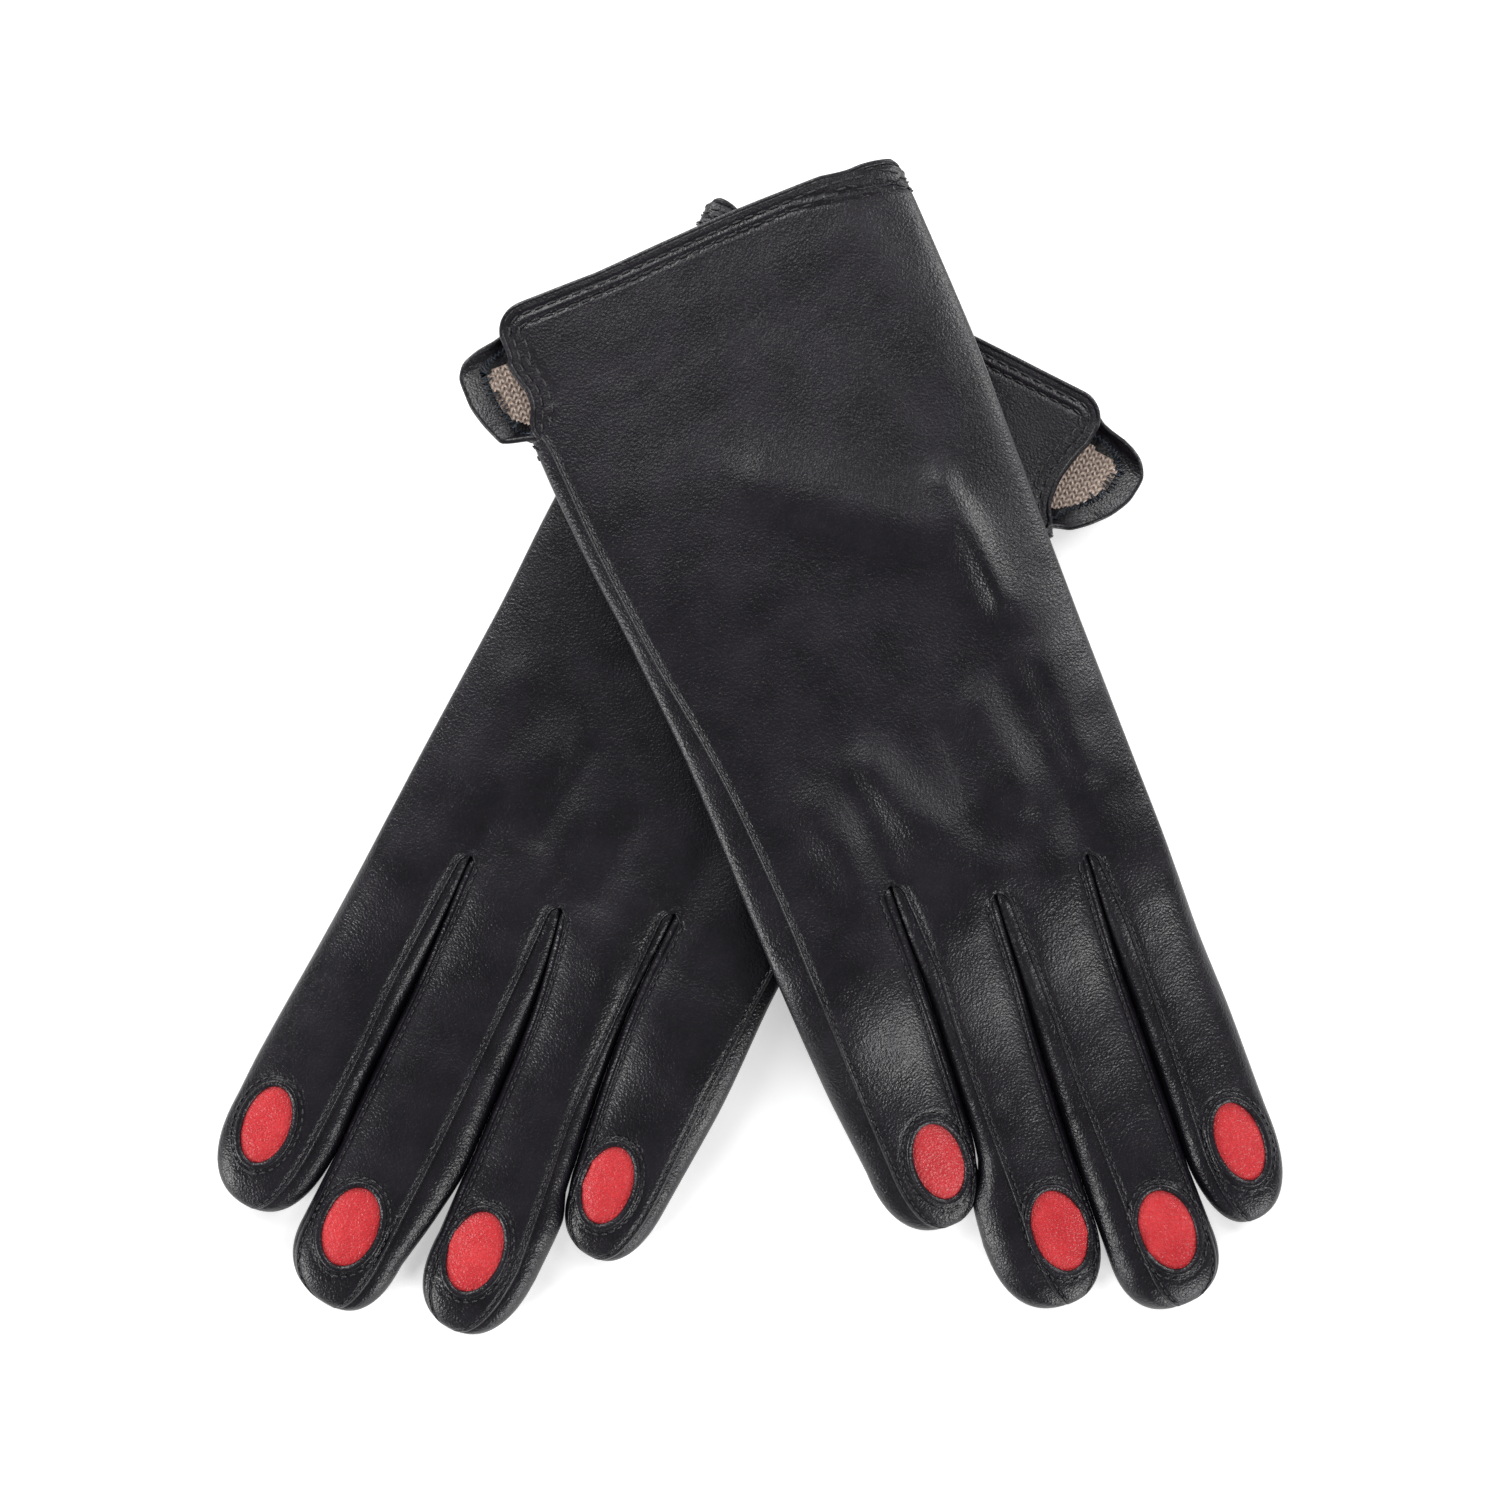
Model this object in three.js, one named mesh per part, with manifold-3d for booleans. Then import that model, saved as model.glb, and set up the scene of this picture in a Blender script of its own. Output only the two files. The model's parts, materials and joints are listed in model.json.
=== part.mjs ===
// A pair of lined leather dress gloves with red nail windows, laid crossed on a flat surface, palms down.
// Units are millimetres. World frame: +Z up, origin under the middle of the pair, on the surface it rests on.
//
// Each glove is drawn in its own plan: "across" runs from the little-finger side (-) to the index side (+),
// "along" runs from the cuff edge (0) to the fingertips, and "up" is the height over the surface.
import * as THREE from "three";
import { mergeVertices } from "three/addons/utils/BufferGeometryUtils.js";
import Module from "manifold-3d";

const wasm = await Module();
wasm.setup();

// ---------------------------------------------------------------- driving dimensions

const LEATHER = 0.8; // thickness of the outer leather
const KNIT = 0.75; // thickness of the knitted lining
const LAYER_GAP = 0.25; // between leather and what lies behind it
const SEAM_GAP = 0.3; // between two pieces that are sewn edge to edge
const HAND_THICK = 8.6; // outside, back to palm
const THUMB_THICK = 6.3; // the thumb lies flattened under the palm
const ARCH = 6.8; // height that the palm stands over the thumb under it
const ARCH_START = 30; // along the hand, where the palm starts to rise
const ARCH_TOP = 62;
const ARCH_END = 152;
const ARCH_DOWN = 192;
const CUFF_OVER = -3; // the back's cuff edge, a little past the zero line
const CUFF_CORNER = 5; // radius of the cuff's corner at the vent
const VENT = 26; // length of the vent at the end of the closing seam
const VENT_FLAT = 15; // the palm's vent flap lies open as far as here
const FACING_WIDTH = 5; // leather strip inside the cuff
const FACING_THICK = 0.6;
const FACING_CLEAR = 0.4; // between the facing and the leather that it lines
const HAND_TO_FINGER = 157; // where index, middle and ring start
const HAND_TO_LITTLE = 147; // where the little finger starts
const LITTLE_STEP = -15.3; // the slit between little and ring finger
const FINGER_GAP = 0.6; // between the hand's panels and a finger's
const FINGER_THICK = 11; // outside, a third of the way along a finger
const FINGER_TAPER = 1.2; // how much thinner a finger is near its tip
const SMALLEST_EDGE = 1.9; // radius that a finger's shoulders keep at its tip
const RADIAL_EDGE = 2.6; // how far a finger's index-side shoulder reaches in
const ULNAR_EDGE = 5.2; // how far its little-finger-side shoulder reaches in
const NAIL_WALL = 1.2; // how far a nail patch reaches past its window
const NAIL_THICK = 0.5;
const NAIL_GAP = 0.1;
const THUMB = { across: 20, along: 88, disc: 14, length: 62, halfWide: 11.5, halfTip: 9.5, turn: 27 };

// Half-widths and tips of the fingers, per glove: base and tip are [across, along].
const FINGERS = {
  right: {
    index: { base: 36, tip: [31.5, 244], wide: [17.6, 19.2], nail: [35.5, 227, 10.5, 18.5] },
    middle: { base: 15.8, tip: [10.2, 256], wide: [20, 22.4], nail: [13.2, 239, 12, 18.5] },
    ring: { base: -5.4, tip: [-12.6, 246.5], wide: [19.4, 21.6], nail: [-9.8, 230.5, 11.5, 18.5] },
    little: { base: -31.6, tip: [-32.2, 221], wide: [28, 21.8], nail: [-30.2, 205, 11, 18] },
  },
  left: {
    index: { base: 37.5, tip: [34.6, 241.5], wide: [18.4, 21.8], nail: [39.2, 225, 10.5, 18] },
    middle: { base: 15.6, tip: [9, 253], wide: [21.2, 24], nail: [13.6, 236, 12, 18.5] },
    ring: { base: -6.4, tip: [-16.8, 244.5], wide: [20.4, 22.6], nail: [-12.4, 228, 12, 18.5] },
    little: { base: -32, tip: [-37, 216.5], wide: [27.4, 22.6], nail: [-34.6, 201, 11, 18] },
  },
};

// Where each glove lies: its cuff's middle, its turn about Z, and which way its index side points.
const PLACES = {
  left: { cuff: [34.6, 94], turn: -28.5, side: -1 },
  right: { cuff: [-9.7, 108.7], turn: 21.9, side: 1 },
};

// The right glove lies on the left one. Its hand is level over it, its cuff droops and its fingers come down.
const PILE = { cuff: 9.2, hand: 15.8, rise: 9, level: 31, fingersStart: 148, fingersEnd: 226 };

const COLOURS = {
  leather: { color: 0x151517, roughness: 0.42, metalness: 0 },
  nail: { color: 0xd9343a, roughness: 0.5, metalness: 0 },
  knit: { color: 0xb59d8c, roughness: 0.95, metalness: 0 },
};

// ---------------------------------------------------------------- small helpers

const { lerp, clamp, degToRad } = THREE.MathUtils;
const smooth = (x) => THREE.MathUtils.smoothstep(x, 0, 1);
const steps = (count) => Array.from({ length: count + 1 }, (_, i) => i / count);

// Height of the palm over what the glove rests on, and of that over the surface.
const arch = (along) =>
  ARCH * (smooth((along - ARCH_START) / (ARCH_TOP - ARCH_START)) - smooth((along - ARCH_END) / (ARCH_DOWN - ARCH_END)));

function pile(glove, along) {
  if (glove === "left") return 0;
  const level = lerp(PILE.cuff, PILE.hand, smooth((along - PILE.rise) / (PILE.level - PILE.rise)));
  return level * (1 - smooth((along - PILE.fingersStart) / (PILE.fingersEnd - PILE.fingersStart)));
}

// Outline of the hand: the little-finger side and the index side, at a distance along.
const ulnarSide = (along) => lerp(-51.5, -46, smooth((along - 20) / 95));
const radialSide = (along) => lerp(46.5, 45, smooth((along - 60) / 95));

// The cuff's edge, rounded at the vent's corner.
function cuffEdge(across, corner) {
  const into = clamp(corner + CUFF_CORNER - across, 0, CUFF_CORNER);
  return CUFF_OVER + CUFF_CORNER - Math.sqrt(CUFF_CORNER ** 2 - into ** 2);
}

// ---------------------------------------------------------------- sections

// A glove's closed section, walked by p: 0 index-side middle, 1 to 2 the top's flat, 3 little-finger-side
// middle, 4 to 5 the bottom's flat, 6 the start again. depth is how far inside the outer surface a point lies.
// open unrolls the little-finger side outwards, for the vent's flap; reach shortens that side's arc.
function sectionPoint({ left, right, bottom, thick, radial, ulnar, open = 0, reach = 1 }, walked, depth) {
  const p = walked >= 6 ? walked - 6 : walked;
  const half = thick / 2;
  const flat = [left + ulnar, right - radial];
  const shoulder = (extent, degrees) => [
    (extent - depth) * Math.cos(degToRad(degrees)),
    bottom + half + (half - depth) * Math.sin(degToRad(degrees)),
  ];
  if (p <= 1 || p >= 5) {
    const [out, up] = shoulder(radial, p <= 1 ? p * 90 : 270 + (p - 5) * 90);
    return [flat[1] + out, up];
  }
  if (p <= 2) return [lerp(flat[1], flat[0], p - 1), bottom + thick - depth];
  if (p >= 4) return [lerp(flat[0], flat[1], p - 4), bottom + depth];
  if (open === 0) {
    const [out, up] = shoulder(ulnar, 90 + (p - 2) * 90);
    return [flat[0] + out, up];
  }
  const curl = (1 - open) / half;
  const arc = ((4 - p) / 2) * Math.PI * half * reach;
  const turned = curl * arc;
  const out = curl < 1e-6 ? arc : Math.sin(turned) / curl;
  const up = curl < 1e-6 ? 0 : (1 - Math.cos(turned)) / curl;
  return [flat[0] - out + depth * Math.sin(turned), bottom + up + depth * Math.cos(turned)];
}

// How far the vent's flap lies open, and how far its rounded edge reaches.
const ventOpen = (along) => (along < VENT + 2 ? 1 - smooth((along - VENT_FLAT) / (VENT + 2 - VENT_FLAT)) : 0);
const ventReach = (along) => (along < VENT_FLAT ? 0.45 + 0.55 * Math.sqrt(smooth(clamp(along + 3, 0, 15) / 15)) : 1);

function handSection(glove, along) {
  return {
    left: ulnarSide(along),
    right: radialSide(along),
    bottom: arch(along) + pile(glove, along),
    thick: HAND_THICK,
    radial: HAND_THICK / 2,
    ulnar: HAND_THICK / 2,
    open: ventOpen(along),
    reach: ventReach(along),
  };
}

function fingerSection(glove, name, along) {
  const { base, tip, wide } = FINGERS[glove][name];
  const start = name === "little" ? HAND_TO_LITTLE : HAND_TO_FINGER;
  const share = (along - start) / (tip[1] - start);
  const round = (wide[1] / 2) * 1.05;
  const intoTip = clamp((along - tip[1] + round) / round, 0, 1);
  const narrowing = Math.sqrt(1 - intoTip ** 2 * 0.985);
  const full = lerp(HAND_THICK, FINGER_THICK, smooth(share / 0.4)) - FINGER_TAPER * smooth((share - 0.5) / 0.5);
  const thick = full * lerp(0.3, 1, narrowing);
  const half = Math.max((lerp(wide[0], wide[1], clamp(share / 0.85, 0, 1)) / 2) * narrowing, thick / 2 + 0.4);
  const centre = lerp(base, tip[0], share);
  return {
    left: centre - half,
    right: centre + half,
    bottom: arch(along) + pile(glove, along) + (full - thick) * 0.4,
    thick,
    radial: Math.max(RADIAL_EDGE * narrowing, SMALLEST_EDGE),
    ulnar: Math.max(ULNAR_EDGE * narrowing, SMALLEST_EDGE),
  };
}

// ---------------------------------------------------------------- solids

// A closed geometry from points and faces in glove coordinates, with its faces turned outwards.
function closedGeometry(glove, points, faces) {
  const { side } = PLACES[glove];
  const geometry = new THREE.BufferGeometry();
  geometry.setAttribute(
    "position",
    new THREE.Float32BufferAttribute(points.flatMap(([across, along, up]) => [side * across, -along, up]), 3),
  );
  geometry.setIndex(side > 0 ? faces.flat() : faces.flatMap(([a, b, c]) => [a, c, b]));
  return geometry;
}

const quad = (a, b, c, d) => [[a, b, c], [a, c, d]];

// A panel of leather or knit: a grid of outer points and one of inner points, closed round the edge.
// at(i, j, depth) gives a point, for i from 0 to rows and j from 0 to columns.
function panel(glove, rows, columns, outerDepth, innerDepth, at) {
  const points = [];
  for (const depth of [outerDepth, innerDepth])
    for (let i = 0; i <= rows; i++) for (let j = 0; j <= columns; j++) points.push(at(i, j, depth));
  const outer = (i, j) => i * (columns + 1) + j;
  const inner = (i, j) => (rows + 1) * (columns + 1) + outer(i, j);
  const faces = [];
  for (let i = 0; i < rows; i++)
    for (let j = 0; j < columns; j++) {
      faces.push(...quad(outer(i, j), outer(i, j + 1), outer(i + 1, j + 1), outer(i + 1, j)));
      faces.push(...quad(inner(i, j), inner(i + 1, j), inner(i + 1, j + 1), inner(i, j + 1)));
    }
  for (let j = 0; j < columns; j++) {
    faces.push(...quad(outer(0, j), inner(0, j), inner(0, j + 1), outer(0, j + 1)));
    faces.push(...quad(outer(rows, j), outer(rows, j + 1), inner(rows, j + 1), inner(rows, j)));
  }
  for (let i = 0; i < rows; i++) {
    faces.push(...quad(outer(i, 0), outer(i + 1, 0), inner(i + 1, 0), inner(i, 0)));
    faces.push(...quad(outer(i, columns), inner(i, columns), inner(i + 1, columns), outer(i + 1, columns)));
  }
  return closedGeometry(glove, points, faces);
}

// A solid through rings of points, closed by a point at each end.
function ringSolid(glove, rings, firstPole, lastPole) {
  const count = rings[0].length;
  const points = [firstPole, ...rings.flat(), lastPole];
  const at = (ring, k) => 1 + ring * count + (k % count);
  const faces = [];
  for (let k = 0; k < count; k++) {
    faces.push([0, at(0, k + 1), at(0, k)]);
    faces.push([at(rings.length - 1, k), at(rings.length - 1, k + 1), points.length - 1]);
    for (let r = 0; r < rings.length - 1; r++)
      faces.push(...quad(at(r, k), at(r, k + 1), at(r + 1, k + 1), at(r + 1, k)));
  }
  return closedGeometry(glove, points, faces);
}

// A profile of [inward, up] points swept along frames of { at, inward, up, reach }. Where the frames turn a
// corner, the profile reaches only a share of its way inwards.
function sweep(glove, profile, frames) {
  const points = frames.flatMap(({ at, inward, up, reach }) =>
    profile.map(([n, w]) => at.clone().addScaledVector(inward, n > 0 ? n * reach : n).addScaledVector(up, w).toArray()),
  );
  const count = profile.length;
  const faces = [];
  for (let f = 0; f < frames.length - 1; f++)
    for (let k = 0; k < count; k++) {
      const next = (k + 1) % count;
      faces.push(...quad(f * count + k, f * count + next, (f + 1) * count + next, (f + 1) * count + k));
    }
  const outline = profile.map(([n, w]) => new THREE.Vector2(n, w));
  const last = (frames.length - 1) * count;
  for (const [a, b, c] of THREE.ShapeUtils.triangulateShape(outline, []))
    faces.push([a, b, c], [last + a, last + c, last + b]);
  return closedGeometry(glove, points, faces);
}

// three.js geometry to a manifold-3d solid and back.
function toSolid(geometry) {
  const bare = new THREE.BufferGeometry().setAttribute("position", geometry.getAttribute("position"));
  bare.setIndex(geometry.index);
  const merged = mergeVertices(bare, 1e-4);
  return new wasm.Manifold(
    new wasm.Mesh({
      numProp: 3,
      vertProperties: merged.attributes.position.array,
      triVerts: new Uint32Array(merged.index.array),
    }),
  );
}

function toGeometry(solid) {
  const mesh = solid.getMesh();
  return new THREE.BufferGeometry()
    .setAttribute("position", new THREE.Float32BufferAttribute(mesh.vertProperties, 3))
    .setIndex(new THREE.BufferAttribute(mesh.triVerts, 1));
}

// An upright oval prism in glove coordinates, for windows and holes.
function ovalPrism(glove, across, along, wide, long, low, high, sides = 16) {
  const { side } = PLACES[glove];
  const prism = new THREE.CylinderGeometry(0.5, 0.5, high - low, sides).rotateX(Math.PI / 2);
  prism.deleteAttribute("normal");
  prism.deleteAttribute("uv");
  return toSolid(prism.scale(wide, long, 1).translate(side * across, -along, (low + high) / 2));
}

// ---------------------------------------------------------------- the hand

const FLAP_BOUND = 11; // the facing follows the vent's flap as far as here
const VENT_ROWS = [0, 8, FLAP_BOUND, VENT_FLAT, 20, 24];
const HAND_ROWS = [...VENT_ROWS, VENT + 2, 37, 46, 55, ARCH_TOP, 105, 145, HAND_TO_FINGER];
const CLOSING = { back: 1.9965, palm: 2.03 };
const FOLD = { back: 0.03, palm: 5.97 };
const BACK_WALK = [FOLD.back, 0.33, 0.66, 1, 1.34, 1.665, 1.695, 1.92, 1.955, 1.98, CLOSING.back];
const PALM_WALK = [CLOSING.palm, 2.3, 2.7, 3, 3.5, 4, 4.305, 4.335, 4.65, 5, 5.33, 5.66, FOLD.palm];
const LINING_WALK = [2.3, 2.7, 3, 3.5, 4, 4.305, 4.335, 5, 5.5, 6, 6.5, 7, 7.665, 7.695, 7.92];

// The hand's panels end at the finger slits, which lie nearer the cuff at the little finger.
function handEnd(across) {
  const stepped = smooth((across - LITTLE_STEP + 0.7) / 1.4);
  return lerp(HAND_TO_LITTLE, HAND_TO_FINGER, stepped);
}

// A point of the hand's surface at p and a nominal distance along, stretched to the cuff's edge and the slits.
function handPoint(glove, p, along, depth, hem = 0) {
  const [across] = sectionPoint(handSection(glove, along), p, depth);
  const corner = p <= 2 || p >= 6 ? ulnarSide(0) + HAND_THICK / 2 : ulnarSide(0) - HAND_THICK;
  const start = cuffEdge(Math.max(across, corner), corner);
  const placed = lerp(start, handEnd(across), along / HAND_TO_FINGER) + (along === 0 ? hem : 0);
  const [u, w] = sectionPoint(handSection(glove, placed), p, depth);
  return [u, placed, w];
}

function handPanel(glove, walk) {
  return panel(glove, HAND_ROWS.length - 1, walk.length - 1, 0, LEATHER, (i, j, depth) =>
    handPoint(glove, walk[j], HAND_ROWS[i], depth),
  );
}

// The hand's lining: a tube of knit behind the leather, from the facing to the fingers, open at the vent.
// On the vent's flap it stops short of the facing.
function handLining(glove) {
  const outside = LEATHER + LAYER_GAP;
  const shortened = (p, along) => (p <= 4 && along <= VENT_FLAT ? lerp(3.75, 4, (p - 2) / 2) : p);
  return panel(glove, HAND_ROWS.length - 1, LINING_WALK.length - 1, outside, outside + KNIT, (i, j, depth) =>
    handPoint(glove, shortened(LINING_WALK[j], HAND_ROWS[i]), HAND_ROWS[i], depth, FACING_WIDTH + SEAM_GAP),
  );
}

// ---------------------------------------------------------------- the facing

// The leather strip that binds the cuff's edge and lines its first millimetres. Its profile is
// [inward from the edge, up from the panel's outer surface]: a bead over the edge and a strip inside.
const BEAD = 1.3;
const CORNER_SHARE = 0.6; // in a corner, the facing reaches this share of the way to where it would cross itself
const FACING_DEPTH = LEATHER + FACING_CLEAR;
const FACING_PROFILE = [
  [-SEAM_GAP - BEAD, -0.4],
  [-SEAM_GAP - BEAD / 2, -0.05],
  [-SEAM_GAP, -0.1],
  [-SEAM_GAP, -FACING_DEPTH],
  [FACING_WIDTH, -FACING_DEPTH],
  [FACING_WIDTH, -FACING_DEPTH - FACING_THICK],
  [-SEAM_GAP, -FACING_DEPTH - FACING_THICK],
  [-SEAM_GAP - BEAD, -1.4],
];

// How far from the edge the inward lines of two neighbouring frames meet.
function meeting(a, b) {
  const turned = a.inward.angleTo(b.inward);
  return turned < 1e-3 ? Infinity : a.at.distanceTo(b.at) / (2 * Math.tan(turned / 2));
}

// Frames along a panel's edge, from places { p, along } on the hand's surface.
function edgeFrames(glove, places) {
  const spot = ({ p, along }) => new THREE.Vector3(...handPoint(glove, p, along, 0));
  const frames = places.map((place, i) => {
    const tangent = spot(places[Math.min(i + 1, places.length - 1)]).sub(spot(places[Math.max(i - 1, 0)])).normalize();
    const up = spot(place).sub(new THREE.Vector3(...handPoint(glove, place.p, place.along, 1))).normalize();
    const inward = new THREE.Vector3().crossVectors(up, tangent).normalize();
    return { at: spot(place), inward, up };
  });
  return frames.map((frame, i) => {
    const near = [frames[i - 1], frames[i + 1]].filter(Boolean).map((other) => meeting(frame, other));
    return { ...frame, reach: Math.min(1, (CORNER_SHARE * Math.min(...near)) / FACING_WIDTH) };
  });
}

function cuffFacing(glove, p, walk) {
  const bound = p < 2 ? VENT : FLAP_BOUND;
  const vent = VENT_ROWS.filter((along) => along <= bound).toReversed().map((along) => ({ p, along }));
  const cuff = walk.map((q) => ({ p: q, along: 0 }));
  const places = [...vent, ...cuff];
  return sweep(glove, FACING_PROFILE, edgeFrames(glove, p < 2 ? places : places.toReversed()));
}

const BACK_CUFF = BACK_WALK.toReversed().slice(1);
const PALM_CUFF = PALM_WALK.slice(1);

// ---------------------------------------------------------------- the fingers

const FINGER_ROWS = [0, 0.16, 0.32, 0.5, 0.68, 0.84, 0.91, 0.96, 0.99];
// Where each strip of a finger runs round its section. The index folds round its outer side, and the little
// finger's palm wraps up to the closing seam; every other side is a fourchette.
const WALKS = {
  index: { back: [0.03, 0.5, 1, 1.5, 1.97], palm: [4.03, 5, 5.5, 5.97], ulnar: [2.03, 3, 3.97] },
  middle: { back: [0.4, 0.7, 1, 1.5, 1.97], palm: [4.03, 4.5, 4.97], ulnar: [2.03, 3, 3.97], radial: [5.03, 5.5, 6.36] },
  ring: { back: [0.4, 0.7, 1, 1.5, 1.97], palm: [4.03, 4.5, 4.97], ulnar: [2.03, 3, 3.97], radial: [5.03, 5.5, 6.36] },
  little: { back: [0.4, 0.7, 1, 1.5, 1.97], palm: [2.03, 3, 4, 4.97], radial: [5.03, 5.5, 6.36] },
};

function fingerStart(name) {
  return (name === "little" ? HAND_TO_LITTLE : HAND_TO_FINGER) + FINGER_GAP;
}

function fingerPoint(glove, name, p, share, depth) {
  const start = fingerStart(name);
  const along = lerp(start, FINGERS[glove][name].tip[1], share);
  const [across, up] = sectionPoint(fingerSection(glove, name, along), p, depth);
  return [across, along, up];
}

function fingerStrip(glove, name, walk, outer = 0, inner = LEATHER) {
  return panel(glove, FINGER_ROWS.length - 1, walk.length - 1, outer, inner, (i, j, depth) =>
    fingerPoint(glove, name, walk[j], FINGER_ROWS[i], depth),
  );
}

// A finger's back has an oval window, with a red patch behind it.
function fingerBack(glove, name) {
  const [across, along, wide, long] = FINGERS[glove][name].nail;
  const strip = toSolid(fingerStrip(glove, name, WALKS[name].back));
  return toGeometry(strip.subtract(ovalPrism(glove, across, along, wide, long, -5, 60)));
}

function nailPatch(glove, name) {
  const [across, along, wide, long] = FINGERS[glove][name].nail;
  const outside = LEATHER + NAIL_GAP;
  const back = fingerStrip(glove, name, WALKS[name].back, outside, outside + NAIL_THICK);
  const oval = ovalPrism(glove, across, along, wide + 2 * NAIL_WALL, long + 2 * NAIL_WALL, -5, 60);
  return toGeometry(toSolid(back).intersect(oval));
}

function fingerLining(glove, name) {
  const outside = LEATHER + 2 * NAIL_GAP + NAIL_THICK;
  const walk = [0, 0.5, 1, 1.5, 2, 3, 4, 4.5, 5, 5.5];
  const shares = FINGER_ROWS.filter((share) => share < 0.95);
  const ring = (share, depth) => walk.map((p) => fingerPoint(glove, name, p, share, depth));
  const pole = (depth) => {
    const [left, , up] = fingerPoint(glove, name, 3, 0.91, depth);
    const [right, along] = fingerPoint(glove, name, 0, 0.91, depth);
    return [(left + right) / 2, along + 5 - depth, up];
  };
  return ringSolid(
    glove,
    [...shares.toReversed().map((s) => ring(s, outside + KNIT)), ...shares.map((s) => ring(s, outside))],
    pole(outside + KNIT),
    pole(outside),
  );
}

// ---------------------------------------------------------------- the thumb

// The flattened thumb: a round pocket through the palm's thumb hole, and a tube from it under the palm.
function thumbSolid(glove, inset, rim) {
  const { across, along, disc, length, halfWide, halfTip, turn } = THUMB;
  const floor = pile(glove, along);
  const direction = [-Math.sin(degToRad(turn)), Math.cos(degToRad(turn))];
  const sideways = [direction[1], -direction[0]];
  const half = THUMB_THICK / 2;
  const rings = [0, 0.25, 0.5, 0.72, 0.87, 0.95, 0.99].map((share) => {
    const intoTip = clamp((share - 0.82) / 0.18, 0, 1);
    const round = Math.sqrt(1 - intoTip ** 2 * 0.96);
    const thick = half * lerp(0.6, 1, round) - inset;
    const wide = Math.max(lerp(halfWide, halfTip, share) * round - inset, thick + 0.2);
    const reach = share * (length - inset);
    return steps(12).slice(0, 12).map((turned) => {
      const angle = turned * 2 * Math.PI;
      const out = Math.sign(Math.cos(angle)) * (wide - thick) * (Math.abs(Math.cos(angle)) > 0.01 ? 1 : 0);
      const x = out + thick * Math.cos(angle);
      return [
        across + direction[0] * reach + sideways[0] * x,
        along + direction[1] * reach + sideways[1] * x,
        floor + half + thick * Math.sin(angle),
      ];
    });
  });
  const middle = (share) => [across + direction[0] * share, along + direction[1] * share, floor + half];
  const tube = toSolid(ringSolid(glove, rings, middle(0), middle(length - inset)));
  const pocket = ovalPrism(glove, across, along, 2 * (disc - inset), 2 * (disc - inset), floor + inset, floor + rim, 20);
  return tube.add(pocket);
}

function thumbShell(glove) {
  const { across, along, disc, length, turn } = THUMB;
  const shell = thumbSolid(glove, 0, ARCH + LEATHER).subtract(thumbSolid(glove, LEATHER, ARCH + 20));
  const reach = length - 16;
  const nail = [across - Math.sin(degToRad(turn)) * reach, along + Math.cos(degToRad(turn)) * reach];
  return { shell, nail, hole: disc + SEAM_GAP };
}

const THUMB_NAIL = { wide: 12, long: 17 };

function thumbWindow(glove, nail, grow, low, high) {
  const { side } = PLACES[glove];
  const oval = ovalPrism(glove, 0, 0, THUMB_NAIL.wide + grow, THUMB_NAIL.long + grow, low, high);
  return oval.rotate([0, 0, side * THUMB.turn]).translate([side * nail[0], -nail[1], 0]);
}

// ---------------------------------------------------------------- assembly

const materials = Object.fromEntries(
  Object.entries(COLOURS).map(([name, look]) => [name, new THREE.MeshStandardMaterial(look)]),
);

function buildGlove(glove) {
  const { cuff, turn } = PLACES[glove];
  const group = new THREE.Group();
  group.position.set(cuff[0], cuff[1], 0);
  group.rotation.z = degToRad(turn);
  const add = (name, geometry, material) => {
    const mesh = new THREE.Mesh(geometry, materials[material]);
    mesh.name = `${glove}_${name}`;
    group.add(mesh);
  };

  const { shell, nail, hole } = thumbShell(glove);
  const floor = pile(glove, THUMB.along);
  const thumbHole = (radius) => ovalPrism(glove, THUMB.across, THUMB.along, 2 * radius, 2 * radius, floor, floor + 11, 20);
  add("back", handPanel(glove, BACK_WALK), "leather");
  add("palm", toGeometry(toSolid(handPanel(glove, PALM_WALK)).subtract(thumbHole(hole))), "leather");
  add("hand_lining", toGeometry(toSolid(handLining(glove)).subtract(thumbHole(hole))), "knit");
  add("cuff_facing_back", cuffFacing(glove, CLOSING.back, BACK_CUFF), "leather");
  add("cuff_facing_palm", cuffFacing(glove, CLOSING.palm, PALM_CUFF), "leather");

  for (const name of Object.keys(WALKS)) {
    add(`${name}_back`, fingerBack(glove, name), "leather");
    add(`${name}_palm`, fingerStrip(glove, name, WALKS[name].palm), "leather");
    for (const edge of ["ulnar", "radial"])
      if (WALKS[name][edge]) add(`${name}_fourchette_${edge}`, fingerStrip(glove, name, WALKS[name][edge]), "leather");
    add(`${name}_nail`, nailPatch(glove, name), "nail");
    add(`${name}_lining`, fingerLining(glove, name), "knit");
  }

  add("thumb", toGeometry(shell.subtract(thumbWindow(glove, nail, 0, floor - 2, floor + 2))), "leather");
  const slab = thumbWindow(glove, nail, -2 * SEAM_GAP, floor + 0.2, floor + 0.2 + NAIL_THICK);
  add("thumb_nail", toGeometry(slab), "nail");
  const behind = LEATHER + LAYER_GAP;
  const lining = thumbSolid(glove, behind, ARCH + behind + KNIT).subtract(thumbSolid(glove, behind + KNIT, ARCH + 20));
  add("thumb_lining", toGeometry(lining), "knit");
  return group;
}

const gloves = new THREE.Group();
gloves.add(buildGlove("left"), buildGlove("right"));

export default gloves;
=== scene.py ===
"""A pair of lined nappa dress gloves with red nail windows, crossed and palms down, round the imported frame.

Each glove is drawn in millimetres: u runs across, from the little-finger side (-) to the index side (+), v
runs along, from the cuff (0) to the fingertips, and heights are over the surface that the gloves lie on.
"""
import json
import math

import bmesh
import bpy
import numpy as np
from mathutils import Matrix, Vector, noise
from mathutils.bvhtree import BVHTree
from mathutils.kdtree import KDTree

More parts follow.
